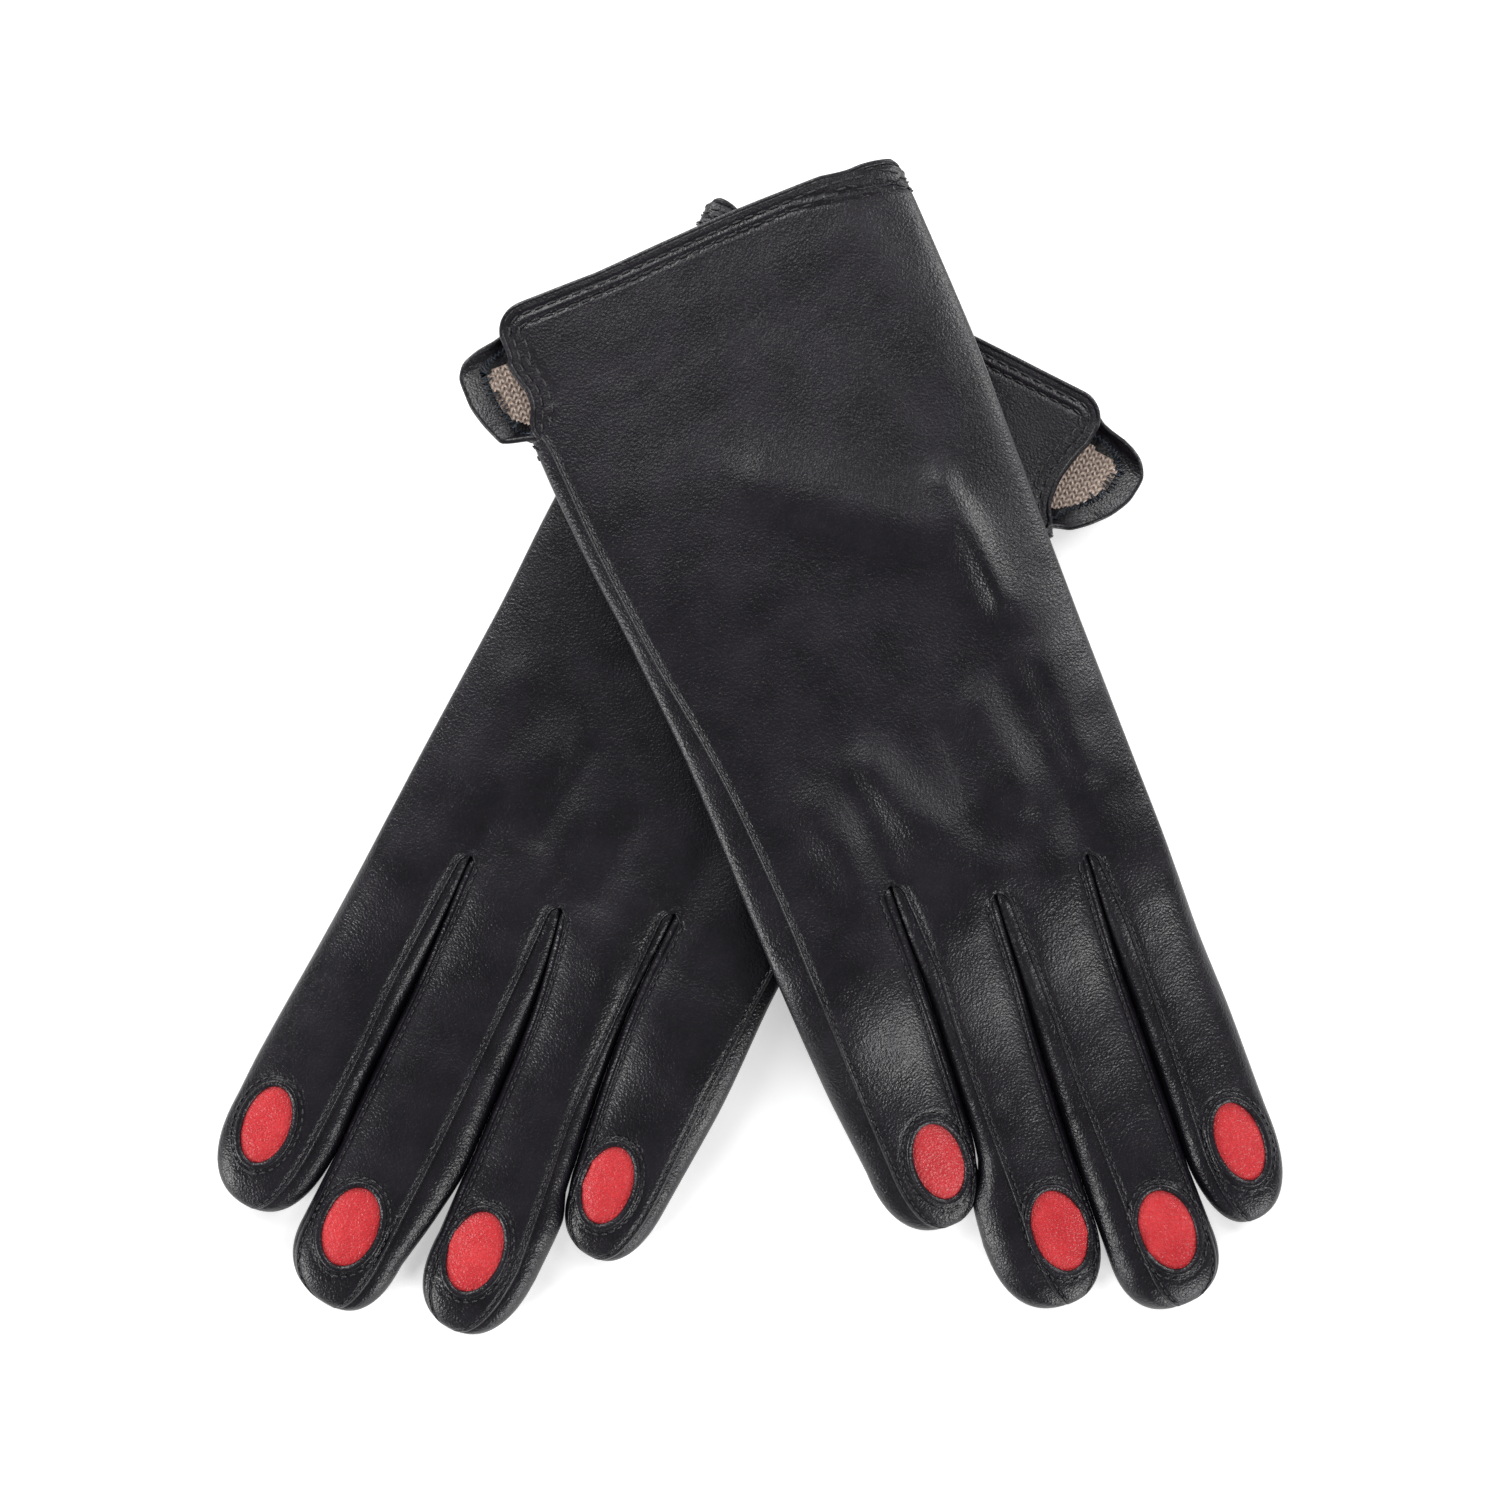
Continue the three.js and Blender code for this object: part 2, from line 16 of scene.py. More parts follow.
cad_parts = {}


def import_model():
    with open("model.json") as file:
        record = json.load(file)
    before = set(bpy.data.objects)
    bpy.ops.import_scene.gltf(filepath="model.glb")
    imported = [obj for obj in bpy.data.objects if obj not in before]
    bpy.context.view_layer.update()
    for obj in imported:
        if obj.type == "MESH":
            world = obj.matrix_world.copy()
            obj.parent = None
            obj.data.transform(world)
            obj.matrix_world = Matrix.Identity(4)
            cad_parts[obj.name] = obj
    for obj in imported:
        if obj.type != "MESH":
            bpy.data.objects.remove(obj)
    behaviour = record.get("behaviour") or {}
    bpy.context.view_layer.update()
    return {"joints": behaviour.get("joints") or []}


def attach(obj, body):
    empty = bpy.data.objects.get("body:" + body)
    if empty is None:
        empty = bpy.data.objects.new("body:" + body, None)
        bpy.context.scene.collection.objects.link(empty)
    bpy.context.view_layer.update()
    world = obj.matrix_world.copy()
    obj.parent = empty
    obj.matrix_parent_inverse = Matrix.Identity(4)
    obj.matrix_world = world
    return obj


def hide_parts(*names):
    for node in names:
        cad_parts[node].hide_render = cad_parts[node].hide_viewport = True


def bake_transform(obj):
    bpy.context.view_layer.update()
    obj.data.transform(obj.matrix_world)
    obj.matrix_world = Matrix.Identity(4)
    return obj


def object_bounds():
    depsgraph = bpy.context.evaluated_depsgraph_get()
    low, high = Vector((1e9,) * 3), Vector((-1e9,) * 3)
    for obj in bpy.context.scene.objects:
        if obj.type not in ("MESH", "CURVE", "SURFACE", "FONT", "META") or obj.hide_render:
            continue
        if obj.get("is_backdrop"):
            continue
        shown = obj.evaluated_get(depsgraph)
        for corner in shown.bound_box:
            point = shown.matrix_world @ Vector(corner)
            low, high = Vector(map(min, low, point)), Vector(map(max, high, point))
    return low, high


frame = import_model()

# ---- driving dimensions, in millimetres

FINGERS = ["little", "ring", "middle", "index"]
HINGE_V = {"little": 147.3, "ring": 157.3, "middle": 157.3, "index": 157.3}
INDEX_HINGE_U = {"left": 37.5, "right": 36}
HAND_THICK = 8.6
FINGER_THICK = 11
HAND_ROUND = 3.4  # exponents of the rounded sections, and of a fingertip's outline
FINGER_ROUND = 2.5
TIP_ROUND = 2.4
TIP_THIN = 0.22  # a fingertip's thickness at its very end, as a share of the finger's
TURN_INTO_FINGER = 16  # past a slit's top, the hand's section turns into the finger's over this length
ARCH = 6.8  # the palm stands this high over the thumb under it
RIGHT_SAG = 0.45  # the share of its arch that the right glove loses at the cuff; the left one loses it all
RIGHT_LEVEL = (13.6, 15.8)  # how high the left glove holds the right one up, at the cuff and over the hand
LEATHER = 0.6  # a back panel stands this proud of the pieces that it is sewn over
LET_OUT = 0.6  # a finger's outline is let out by up to this much, to meet its neighbour's
STITCH_INSET = 1.25  # from the edge of a back panel
CUFF_STITCHES = (2.1, 4.3)  # distances of the two rows from the cuff's edge
NAIL_STITCH = 2.2  # from the edge of a nail's window
STITCH_PITCH = 1.9
STITCH_LENGTH = 1.3
STITCH_RADIUS = 0.24
STITCH_PROUD = 0.14  # the middle of a thread lies this far over the leather
STITCH_GROOVE = 0.3  # stitches pull the leather in this deep, and the cuff's rows a little deeper
CUFF_GROOVE = 0.42
WINDOW_DEPTH = 0.95  # the leather dips this far into a nail's window
CUFF_PITCH = 2.9  # the cuff's stitches are larger
CUFF_STITCH = 2.15
KNIT_COLUMN = 0.0017  # width of a column of loops and height of a loop, in metres
KNIT_ROW = 0.00135
WELT = 0.8  # a fourchette rolls up this much beside its finger's back
FOLD_ROUND = 5.2  # the back turns over at the index side from here
SLIT_ROUND = 3  # length over which the top of a slit rounds out
VENT = 26  # length of the vent
FACING = 5.4  # width of the leather facing inside the cuff and the vent
VENT_CORNER = 5.6  # the cuff's corner beside the vent, and the one at the index side
FOLD_CORNER = 3
PIPING = 0.62  # radius of the rolled edge
CUFF_ROW = -4  # the first row of every grid, which becomes the cuff's edge
HEM_ROWS = (-3.4, -2.8, -2.2, -1.6, -0.4, 0.2, 0.9, 1.6, 2.4, 3.3)  # closer rows beside the cuff's edge
SLIT_ROWS = (-3, -2.2, -1.6, -1.25, -0.9, -0.6, -0.3, 0, 0.12, 0.35, 0.7, 1.15, 1.7, 2.4, 3.2, 4.2, 5.4, 6.8,
             8.4, 10, 11.6)  # and from the top of a slit
WRAP_UNDER = 4.6  # the little-finger side's palm leather turns up from here
FLAP_ROOT = -43  # the vent's flap turns up from about here
FLAP_LIFT = 4.2  # height of the flap's edge over the palm
LINING_DEPTH = 1.25  # the lining lies this far behind the leather's outer face
FACING_DEPTH = 0.95  # and the facing this far
RIM = 0.8  # half-width of the turned edge round a nail's window
WELD = 2e-6  # points of a piece that are this close, in metres, become one
UP = np.array([0, 0, 1.0])
THUMB = {"u": 20, "v": 88, "disc": 13.6, "length": 61, "half": 11.2, "tip": 9.6, "round": 14, "thick": 6.2,
         "turn": 27}

# Lines of each glove, as (v, u) stations; the cuff and the slits' rounded tops are (u, v). "out" and "in" are
# a finger's outline on the little-finger side and the index side. "seam_out" and "seam_in" are the edges of
# its back panel. A tip is its middle u and its end v. A nail is its middle u and v, width, length and tilt.
RIGHT = {
    "cuff": [(-50, -1.8), (-43, -2.2), (-25, -1.9), (8, -3.3), (28, -3.2), (40, -1.8), (47, -0.6)],
    "slits": [(-15.5, 144.5), (5, 154.5), (26.5, 154)],
    "vent_edge": [
        (-3, -49.1), (3, -49.1), (8, -49.8), (12, -49.4),
        (16.7, -48.2), (19.6, -48.5), (22.3, -49.8), (24.6, -50.4),
    ],
    "flap": [
        (-2, -46.5), (2.2, -49), (3.4, -55), (5.3, -59.2), (8.7, -60.9), (13.5, -60.9),
        (18, -60), (22.3, -58.4), (25.4, -56.9), (28, -53),
    ],
    "little": {
        "out": [
            (-4, -50.5), (27, -51.5), (50, -50.6), (80, -48), (110, -46.3),
            (150, -46), (180, -45.3), (203, -43.6),
        ],
        "seam_out": [
            (27, -49.3), (31, -48.7), (50, -47.8), (80, -45), (100, -42),
            (120, -40), (150, -39), (180, -39), (203, -38.7),
        ],
        "seam_in": [(147.5, -17.5), (170, -18), (190, -19), (203, -20)],
        "in": [(147.5, -16.3), (170, -16.9), (190, -18), (203, -19)],
        "tip": (-30.6, 221), "round": 18, "nail": (-27.8, 205.8, 11, 18, -4),
    },
    "ring": {
        "out": [
            (147.5, -15.1), (170, -16.2), (190, -17.4), (203, -18.4), (212, -21.2),
            (219, -25), (228, -26.2),
        ],
        "seam_out": [(147.5, -13.4), (165, -13), (180, -14), (200, -15), (220, -15.5), (230, -16)],
        "seam_in": [(157, 3.4), (175, 2.5), (190, 1.2), (210, -0.2), (229, -1.1)],
        "in": [(157, 4.3), (175, 3.2), (190, 1.9), (210, 0.5), (229, -0.3)],
        "tip": (-12.3, 247), "round": 17, "nail": (-8.7, 230.3, 12, 18.8, -2),
    },
    "middle": {
        "out": [(157, 5.2), (175, 3.9), (190, 2.6), (210, 1.2), (225, 0.2), (243, -1.4)],
        "seam_out": [(157, 7), (180, 7), (200, 6.5), (220, 6.5), (243, 6)],
        "seam_in": [(157, 25), (175, 24), (195, 23.5), (215, 22.9), (243, 22.4)],
        "in": [(157, 25.8), (175, 24.8), (195, 24.3), (215, 23.7), (243, 23.2)],
        "tip": (10.9, 256.6), "round": 13.5, "nail": (13.6, 239, 12.2, 18.4, 0),
    },
    "index": {
        "out": [(157, 26.8), (175, 25.8), (195, 25.3), (215, 24.5), (229, 23.2)],
        "seam_out": [(157, 28.2), (175, 29), (200, 28.5), (220, 27.5), (229, 27)],
        "in": [
            (-4, 45.3), (40, 46), (62, 45.4), (88, 44.7), (120, 44.1),
            (175, 43.7), (200, 44.5), (222, 44.3),
        ],
        "tip": (32.4, 245), "round": 21, "nail": (35.6, 226.8, 10.5, 18.5, 0),
    },
}
LEFT = {
    "cuff": [(-50, -3.4), (-43, -3.9), (0, -2.4), (38, -2.6), (51, -3.2)],
    "slits": [(-17.7, 140.5), (5, 151.4), (27.5, 150.7)],
    "vent_edge": [
        (-3, -48.4), (2, -48.4), (5.2, -48), (10.5, -47),
        (15.6, -46.4), (20.4, -46.9), (23.2, -48.1), (25, -49.4),
    ],
    "flap": [
        (-3, -46), (-0.4, -50), (1, -56.6), (3.5, -60.9), (7, -62.7), (11, -62.5),
        (15.8, -60.8), (20, -57.9), (23.7, -54.2), (25.2, -52), (28, -50),
    ],
    "little": {
        "out": [
            (-4, -50.2), (27, -51.2), (60, -49.6), (100, -46.9), (143, -45.6),
            (178, -47.4), (200, -47.2),
        ],
        "seam_out": [
            (27, -48.9), (32, -48), (60, -46.6), (100, -44), (143, -43.1),
            (168, -43.5), (200, -44.8),
        ],
        "seam_in": [(144, -19.4), (160, -20), (180, -22.6), (200, -26.4)],
        "in": [(144, -18.4), (160, -19), (180, -21.5), (200, -25.3)],
        "tip": (-37.6, 217), "round": 17, "nail": (-33.3, 200.6, 11, 18, -10),
    },
    "ring": {
        "out": [
            (144, -17.3), (160, -18.3), (180, -20.8), (200, -24.2), (207, -26.6),
            (214, -29.2), (227, -29.9),
        ],
        "seam_out": [(144.6, -16), (160, -17.2), (190, -19.4), (209, -22.4), (227, -25.2)],
        "seam_in": [(153, 3.2), (160, 1.4), (175, -1.4), (200, -4.1), (228, -6.8)],
        "in": [(153, 4), (160, 2.3), (175, -0.6), (200, -3.3), (228, -5.9)],
        "tip": (-17.6, 246), "round": 18, "nail": (-14.5, 227.5, 12, 18.8, -7),
    },
    "middle": {
        "out": [(153, 4.8), (160, 3.1), (175, 0.2), (200, -2.5), (213, -3.6), (225, -2.8), (239, -1)],
        "seam_out": [(153, 6.6), (180, 4.9), (210, 3.3), (239, 2.6)],
        "seam_in": [(153, 26.4), (181, 24.4), (206, 23.3), (239, 21.9)],
        "in": [(153, 27.2), (181, 25.2), (206, 24.1), (239, 22.7)],
        "tip": (8.2, 254.3), "round": 15, "nail": (12.3, 235.8, 12.2, 18.4, -6),
    },
    "index": {
        "out": [(153, 28.1), (181, 26.1), (206, 24.9), (221, 23)],
        "seam_out": [(153, 29.4), (181, 29.5), (201, 28.3), (221, 27.9)],
        "in": [
            (-4, 51.4), (20, 50.4), (77, 49.5), (102, 48.7), (132, 48.6),
            (162, 48.3), (212, 49), (222, 48.7),
        ],
        "tip": (35, 243.6), "round": 21, "nail": (39.5, 224.8, 10.6, 18, -7),
    },
}
GLOVES = {"right": RIGHT, "left": LEFT}

# Soft ridges and dents of the worn-in leather: (u, v) points of a ridge, its width and its height.
FOLDS = {
    "right": [
        ([(-8, 54), (10, 68), (27, 79), (33, 98), (38, 120)], 7.5, 1.7),
        ([(27.5, 68), (29, 82), (29.5, 96)], 3.2, 1.25),
        ([(-24, 12), (0, 13), (24, 10)], 6, 0.35),
        ([(-18, 134), (6, 134), (32, 131)], 8, 1.3),
        ([(32, 12), (36, 30), (37, 46)], 5.5, 0.6),
        ([(-25, 124), (-22, 142)], 6, 1.2),
        ([(-10, 120), (-4, 134), (6, 150)], 5.5, 1.7),
        ([(17, 116), (18, 138)], 4.5, 1.2),
        ([(32, 112), (34, 136)], 5, 1.3),
        ([(-33, 150), (-33, 172)], 6, 0.5),
        ([(8, 118), (8, 132)], 3, -0.5),
        ([(-14, 122), (-13, 138)], 4, -0.5),
        ([(26, 126), (27, 142)], 3.5, -0.4),
    ],
    "left": [
        ([(10, 132), (9, 146)], 5, 0.7),
        ([(-8, 140), (-9, 158)], 4, 0.6),
        ([(-12, 160), (-14, 184)], 4, 0.4),
        ([(22, 122), (30, 138)], 6, 0.8),
        ([(38, 112), (38, 132)], 5, 0.7),
        ([(16, 118), (17, 140)], 3, -0.6),
        ([(0, 128), (-1, 146)], 3, -0.6),
        ([(-30, 118), (-28, 136)], 6, 0.5),
    ],
}

# ---- numbers


def smooth(x):
    x = np.clip(x, 0, 1)
    return x * x * (3 - 2 * x)


def lerp(a, b, t):
    return a + (b - a) * t


def through(stations, v):
    """A smooth line through a few stations, level past its ends."""
    x, y = np.array(stations, float).T
    slope = np.diff(y) / np.diff(x)
    bend = np.concatenate([slope[:1], np.zeros(len(slope) - 1), slope[-1:]])
    same = slope[:-1] * slope[1:] > 0
    total = np.where(same, slope[:-1] + slope[1:], 1)
    bend[1:-1] = np.where(same, 2 * slope[:-1] * slope[1:] / total, 0)
    v = np.clip(np.asarray(v, float), x[0], x[-1])
    k = np.clip(np.searchsorted(x, v) - 1, 0, len(x) - 2)
    h = x[k + 1] - x[k]
    t = (v - x[k]) / h
    values = y[k] * (1 + 2 * t) * (1 - t) ** 2 + y[k + 1] * t * t * (3 - 2 * t)
    return values + bend[k] * h * t * (1 - t) ** 2 + bend[k + 1] * h * t * t * (t - 1)


def hill(x, middle, width):
    """A smooth hill of height 1."""
    return np.exp(-(((x - middle) / width) ** 2))


def quarter_fall(x):
    """How far a quarter circle has fallen at x, from 0 to 1."""
    return 1 - np.sqrt(1 - x**2)


def cos_sin(degrees):
    return math.cos(math.radians(degrees)), math.sin(math.radians(degrees))


def circle(count):
    """Angles once round, with the first and the last alike."""
    return np.linspace(0, 2 * math.pi, count)


def ridge_distance(points, u, v):
    """Distance from (u, v) to a polyline."""
    best = np.full(np.shape(u), 1e9)
    for (u0, v0), (u1, v1) in zip(points[:-1], points[1:]):
        length = (u1 - u0) ** 2 + (v1 - v0) ** 2
        t = np.clip(((u - u0) * (u1 - u0) + (v - v0) * (v1 - v0)) / length, 0, 1)
        best = np.minimum(best, np.hypot(u - u0 - t * (u1 - u0), v - v0 - t * (v1 - v0)))
    return best


def rough(u, v, seed, size):
    """Smooth noise from -1 to 1 with features of about this size."""
    flat = np.stack([np.ravel(u) / size, np.ravel(v) / size], 1)
    values = [noise.noise(Vector((a, b, seed))) for a, b in flat.tolist()]
    return np.array(values).reshape(np.shape(u)) * 1.6


# ---- the glove's plan


def slit_beside(glove, finger, side):
    """The rounded top of the slit at a finger's "out" or "in" side, or None at the hand's own sides."""
    k = FINGERS.index(finger) - side.endswith("out")
    return GLOVES[glove]["slits"][k] if 0 <= k < 3 else None


def slit_open(glove, finger, side, v):
    """How far that slit is open at v: 0 up to its top, 1 past its rounding, and 1 where there is none."""
    slit = slit_beside(glove, finger, side)
    opened = np.clip((v - slit[1]) / SLIT_ROUND, 0, 1) if slit else 1
    return np.sqrt(1 - (1 - opened) ** 2)


def line(glove, finger, kind, v):
    """A finger's line at v. Towards the cuff, neighbours share one line; towards the tip, all lines close up.

    The outlines of neighbouring fingers are let out until the fingers nearly touch.
    """
    lines = GLOVES[glove][finger]
    folded = kind == "seam_in" and finger == "index"
    stations = lines["in" if folded else kind]
    if kind == "seam_out" and finger == "little":
        stations = GLOVES[glove]["vent_edge"] + stations
    u = through(stations, v) - (fold_round(v) if folded else 0)
    slit = slit_beside(glove, finger, kind)
    if slit and kind in ("out", "in"):
        step, facing = (1, "out") if kind == "in" else (-1, "in")
        gap = through(GLOVES[glove][FINGERS[FINGERS.index(finger) + step]][facing], v) - u
        u = u + np.sign(gap) * np.clip(np.abs(gap) / 2, 0, LET_OUT)
    if slit:
        u = lerp(slit[0], u, slit_open(glove, finger, kind, v))
    return lines["tip"][0] + (u - lines["tip"][0]) * tip_close(glove, finger, v)


def seams(glove, finger, v):
    """Both edges of a finger's back panel at v."""
    return line(glove, finger, "seam_out", v), line(glove, finger, "seam_in", v)


def fold_round(v):
    """How far in from the index side's outline the fold starts: less along the finger."""
    return lerp(FOLD_ROUND, 0.7, smooth((v - 150) / 45))


def tip_close(glove, finger, v):
    """How wide a finger still is at v, from 1 before its tip's rounding to 0 at its end."""
    lines = GLOVES[glove][finger]
    into = np.clip((v - lines["tip"][1]) / lines["round"] + 1, 0, 1)
    return (1 - into**TIP_ROUND) ** (1 / TIP_ROUND)


def rest_height(glove, v):
    """Height of the glove's underside over the surface, at the middle of its palm."""
    sag = 1 if glove == "left" else RIGHT_SAG
    arch = ARCH * (1 - sag * (1 - smooth((v + 12) / 86)) - smooth((v - 152) / 40))
    if glove == "left":
        return arch
    level = lerp(*RIGHT_LEVEL, smooth((v + 30) / 110))
    return arch + level * (1 - smooth((v - 148) / 78))


def hand_shape(glove, v):
    """(middle, half-width, underside, half-thickness) of the hand's section at v."""
    left = through(GLOVES[glove]["little"]["out"], v)
    right = through(GLOVES[glove]["index"]["in"], v)
    return (left + right) / 2, (right - left) / 2, rest_height(glove, v), HAND_THICK / 2 + 0 * v


def finger_shape(glove, finger, v):
    """The same of a finger's section: it fills out past the hand, then thins to a rounded tip."""
    left, right = line(glove, finger, "out", v), line(glove, finger, "in", v)
    close = tip_close(glove, finger, v)
    share = (v - HINGE_V[finger]) / (GLOVES[glove][finger]["tip"][1] - HINGE_V[finger])
    full = lerp(HAND_THICK, FINGER_THICK, smooth(share / 0.4)) - 1.2 * smooth((share - 0.5) / 0.5)
    half = full / 2 * lerp(TIP_THIN, 1, close)
    return (left + right) / 2, (right - left) / 2, rest_height(glove, v) + (full / 2 - half) * 0.7, half


def on_section(shape, exponent, turn):
    """The point of a rounded section at an angle, from 0 at the index side over the top."""
    middle, wide, low, half = shape
    c, s = np.cos(turn), np.sin(turn)
    u = middle + wide * np.sign(c) * np.abs(c) ** (2 / exponent)
    return u, low + half + half * np.sign(s) * np.abs(s) ** (2 / exponent)


def turn_at(shape, exponent, u, top=True):
    """The angle at which a section passes u, on its top or its underside."""
    middle, wide, _, _ = shape
    x = np.clip((u - middle) / np.maximum(wide, 1e-6), -1, 1)
    turn = np.arccos(np.sign(x) * np.abs(x) ** (exponent / 2))
    return turn if top else -turn


def finger_share(glove, finger, v, t):
    """How far the hand's shape has turned into the finger's, between the slits beside the finger."""
    out, inner = slit_beside(glove, finger, "out"), slit_beside(glove, finger, "in")
    starts = (out or inner)[1], (inner or out)[1]
    return lerp(*(smooth((v - start) / TURN_INTO_FINGER) for start in starts), t)


def folds(glove, u, v):
    """Height added by the ridges and dents of the leather."""
    height = 0 * u
    for points, width, size in FOLDS[glove]:
        height = height + size * hill(ridge_distance(points, u, v), 0, width)
    for top_u, top_v in GLOVES[glove]["slits"]:
        near = smooth((v - top_v + 30) / 30) * (1 - smooth((v - top_v - 6) / 14))
        height = height - 1.1 * near * hill(u, top_u, 4.5)
    seed = 3.7 if glove == "left" else 9.1
    height = height + 0.26 * rough(u, v, seed, 19) + 0.07 * rough(u, v, seed + 5, 6.5)
    return height + 0.03 * rough(u * 0.5 + v, v * 0.45, seed + 8, 2.6)


def surface(glove, finger, u, v, top=True):
    """Height of the glove's top (or underside) within one finger's strip, hand and finger alike."""
    hand = hand_shape(glove, v)
    height = on_section(hand, HAND_ROUND, turn_at(hand, HAND_ROUND, u, top))[1]
    own = finger_shape(glove, finger, v)
    mine = on_section(own, FINGER_ROUND, turn_at(own, FINGER_ROUND, u, top))[1]
    left, right = seams(glove, finger, v)
    t = np.clip((u - left) / np.maximum(right - left, 1e-6), 0, 1)
    height = lerp(height, mine, finger_share(glove, finger, v, t))
    if top:
        height = height + folds(glove, u, v) * tip_close(glove, finger, v)
    return height


# ---- rows and columns


def rows(glove, finger, start, end):
    """Distances along a strip, closer together at the hem, the slit tops, the nail and the fingertip."""
    lines = GLOVES[glove][finger]
    rounding = lines["tip"][1] - lines["round"]
    nail_v, nail_half = lines["nail"][1], lines["nail"][3] / 2 + 3
    marks = [*np.arange(CUFF_ROW, HINGE_V[finger], 1.5), *HEM_ROWS, *np.arange(18, VENT + 3, 0.5)]
    for _, top_v in GLOVES[glove]["slits"]:
        marks += [top_v + step for step in SLIT_ROWS]
    marks += list(np.arange(HINGE_V["ring"] + 1.5, rounding, 1.1))
    marks += list(np.arange(nail_v - nail_half, min(nail_v + nail_half, rounding), 0.6))
    marks += list(rounding + lines["round"] * np.sin(np.linspace(0, math.pi / 2, 26)))
    fixed = [start, end] + [m for m in HINGE_V.values() if start < m < end]
    fixed += [m for _, m in GLOVES[glove]["slits"] if start < m < end]
    keep = sorted(set(fixed))
    for mark in sorted(set(np.round(marks, 3))):
        if start < mark < end and min(abs(mark - k) for k in keep) > 0.11:
            keep.append(mark)
    return np.array(sorted(keep))


EDGE_COLUMNS = np.array([0, 0.1, 0.22, 0.36, 0.6, 0.9, 1.08, 1.25, 1.42, 1.7, 2.3, 3.2])  # from a sewn edge
INNER_COLUMNS = 24


def strip_columns(glove, finger, v):
    """Where a back panel's columns lie at each row v. The index folds round its outer side, with no seam."""
    left, right = seams(glove, finger, v)
    near = EDGE_COLUMNS[None] * np.minimum(1, (right - left) / 9)[:, None]
    folded = finger == "index"
    inner_right = right - (0 if folded else near[:, -1])
    inner = lerp((left + near[:, -1])[:, None], inner_right[:, None], np.linspace(0, 1, INNER_COLUMNS)[None])
    parts = [left[:, None] + near[:, :-1], inner]
    return np.concatenate(parts if folded else parts + [right[:, None] - near[:, -2::-1]], 1)


def sewn_edge(distance):
    """Height of a sewn, turned edge, from the edge inwards: it rolls over, then dips along the stitches."""
    inside = np.clip(distance / 0.5, 0, 1)
    roll = -(LEATHER + 0.18) * quarter_fall(1 - inside)
    return roll + (0.22 * hill(distance, 0.6, 0.36) - STITCH_GROOVE * hill(distance, STITCH_INSET, 0.3))


def nail_distance(glove, finger, u, v):
    """Roughly how far (u, v) lies outside the nail's window."""
    middle_u, middle_v, wide, long, tilt = GLOVES[glove][finger]["nail"]
    c, s = cos_sin(tilt)
    across, along = (u - middle_u) * c - (v - middle_v) * s, (u - middle_u) * s + (v - middle_v) * c
    a, b = wide / 2, long / 2
    radius = np.sqrt((across / a) ** 2 + (along / b) ** 2)
    slope = np.hypot(across / a**2, along / b**2) / np.maximum(radius, 1e-6)
    return (radius - 1) / np.maximum(slope, 1 / b)


def panel_height(glove, finger, u, v, window=True):
    """Height of a back panel, with its sewn edges, the tops of the slits and the dip of the nail's window."""
    height = surface(glove, finger, u, v) + LEATHER
    left, right = seams(glove, finger, v)
    squeeze = np.maximum(np.minimum(1, (right - left) / 9), 0.05)
    for side, distance in (("out", u - left), ("in", right - u)):
        slit = slit_beside(glove, finger, side)
        open_here = smooth((v - VENT + 1) / 3) if side == "out" else 0
        if slit:
            open_here = smooth((v - slit[1]) / 1.6)
            before = np.hypot(u - slit[0], np.minimum(v - slit[1], 0)) + 0 * v
            height = height + 0.2 * hill(before, 0.8, 0.5) * (1 - open_here)
        height = height + sewn_edge(np.maximum(distance, 0) / squeeze) * squeeze * open_here
    height = height - cuff_dips(glove, u, v)
    if window:
        outside = nail_distance(glove, finger, u, v)
        height = height - WINDOW_DEPTH * (1 - smooth(outside + 0.1)) + 0.2 * hill(outside, 1.4, 0.6)
        height = height - STITCH_GROOVE * hill(outside, NAIL_STITCH, 0.35)
    return height


def cuff_ends(glove):
    """Where the back's hem ends: at the vent, and at the fold on the index side."""
    return GLOVES[glove]["vent_edge"][0][1] - 0.15, GLOVES[glove]["index"]["in"][0][1]


def cuff_start(glove, u):
    """The cuff's edge, rounded at its two corners."""
    vent, fold = cuff_ends(glove)
    near_vent = np.clip((vent + VENT_CORNER - u) / VENT_CORNER, 0, 1)
    near_fold = np.clip((u - fold + FOLD_CORNER) / FOLD_CORNER, 0, 1)
    edge = np.interp(u, *np.array(GLOVES[glove]["cuff"], float).T)
    return edge + FOLD_CORNER * quarter_fall(near_fold) + VENT_CORNER * quarter_fall(near_vent)


def placed(glove, u, v):
    """Where a row at v lies at u: the first rows follow the cuff's edge."""
    return v + (cuff_start(glove, u) - CUFF_ROW) * (1 - smooth((v - CUFF_ROW) / 16))


def hem_line(glove):
    """The back's hem as (u, v) points: up the vent, round the corner and along the cuff."""
    vent, fold = cuff_ends(glove)
    vent_v = np.arange(VENT, 4, -1)
    vent_u = line(glove, "little", "seam_out", vent_v)
    corner_u = vent + VENT_CORNER * (1 - np.cos(np.linspace(0.2, math.pi / 2, 9)))
    cuff_u = np.array([*corner_u, -20, 0, 20, fold])
    return [*zip(vent_u, vent_v), *zip(cuff_u, cuff_start(glove, cuff_u))]


def cuff_dips(glove, u, v):
    """Depth of the grooves along the two rows of stitches beside the hem, with a soft roll between them."""
    from_hem = ridge_distance(hem_line(glove), u, v)
    fade = 1 - smooth((v - VENT + 3) / 4)
    roll = -0.2 * hill(from_hem, sum(CUFF_STITCHES) / 2, 0.75)
    return fade * (roll + sum(CUFF_GROOVE * hill(from_hem, row, 0.36) for row in CUFF_STITCHES))


# ---- grids of points


def back_grid(glove, finger, v):
    """A finger's strip of the back, from the cuff to the fingertip."""
    u = strip_columns(glove, finger, v)
    along = placed(glove, u, v[:, None])
    return np.stack([u, along, panel_height(glove, finger, u, along)], 2)


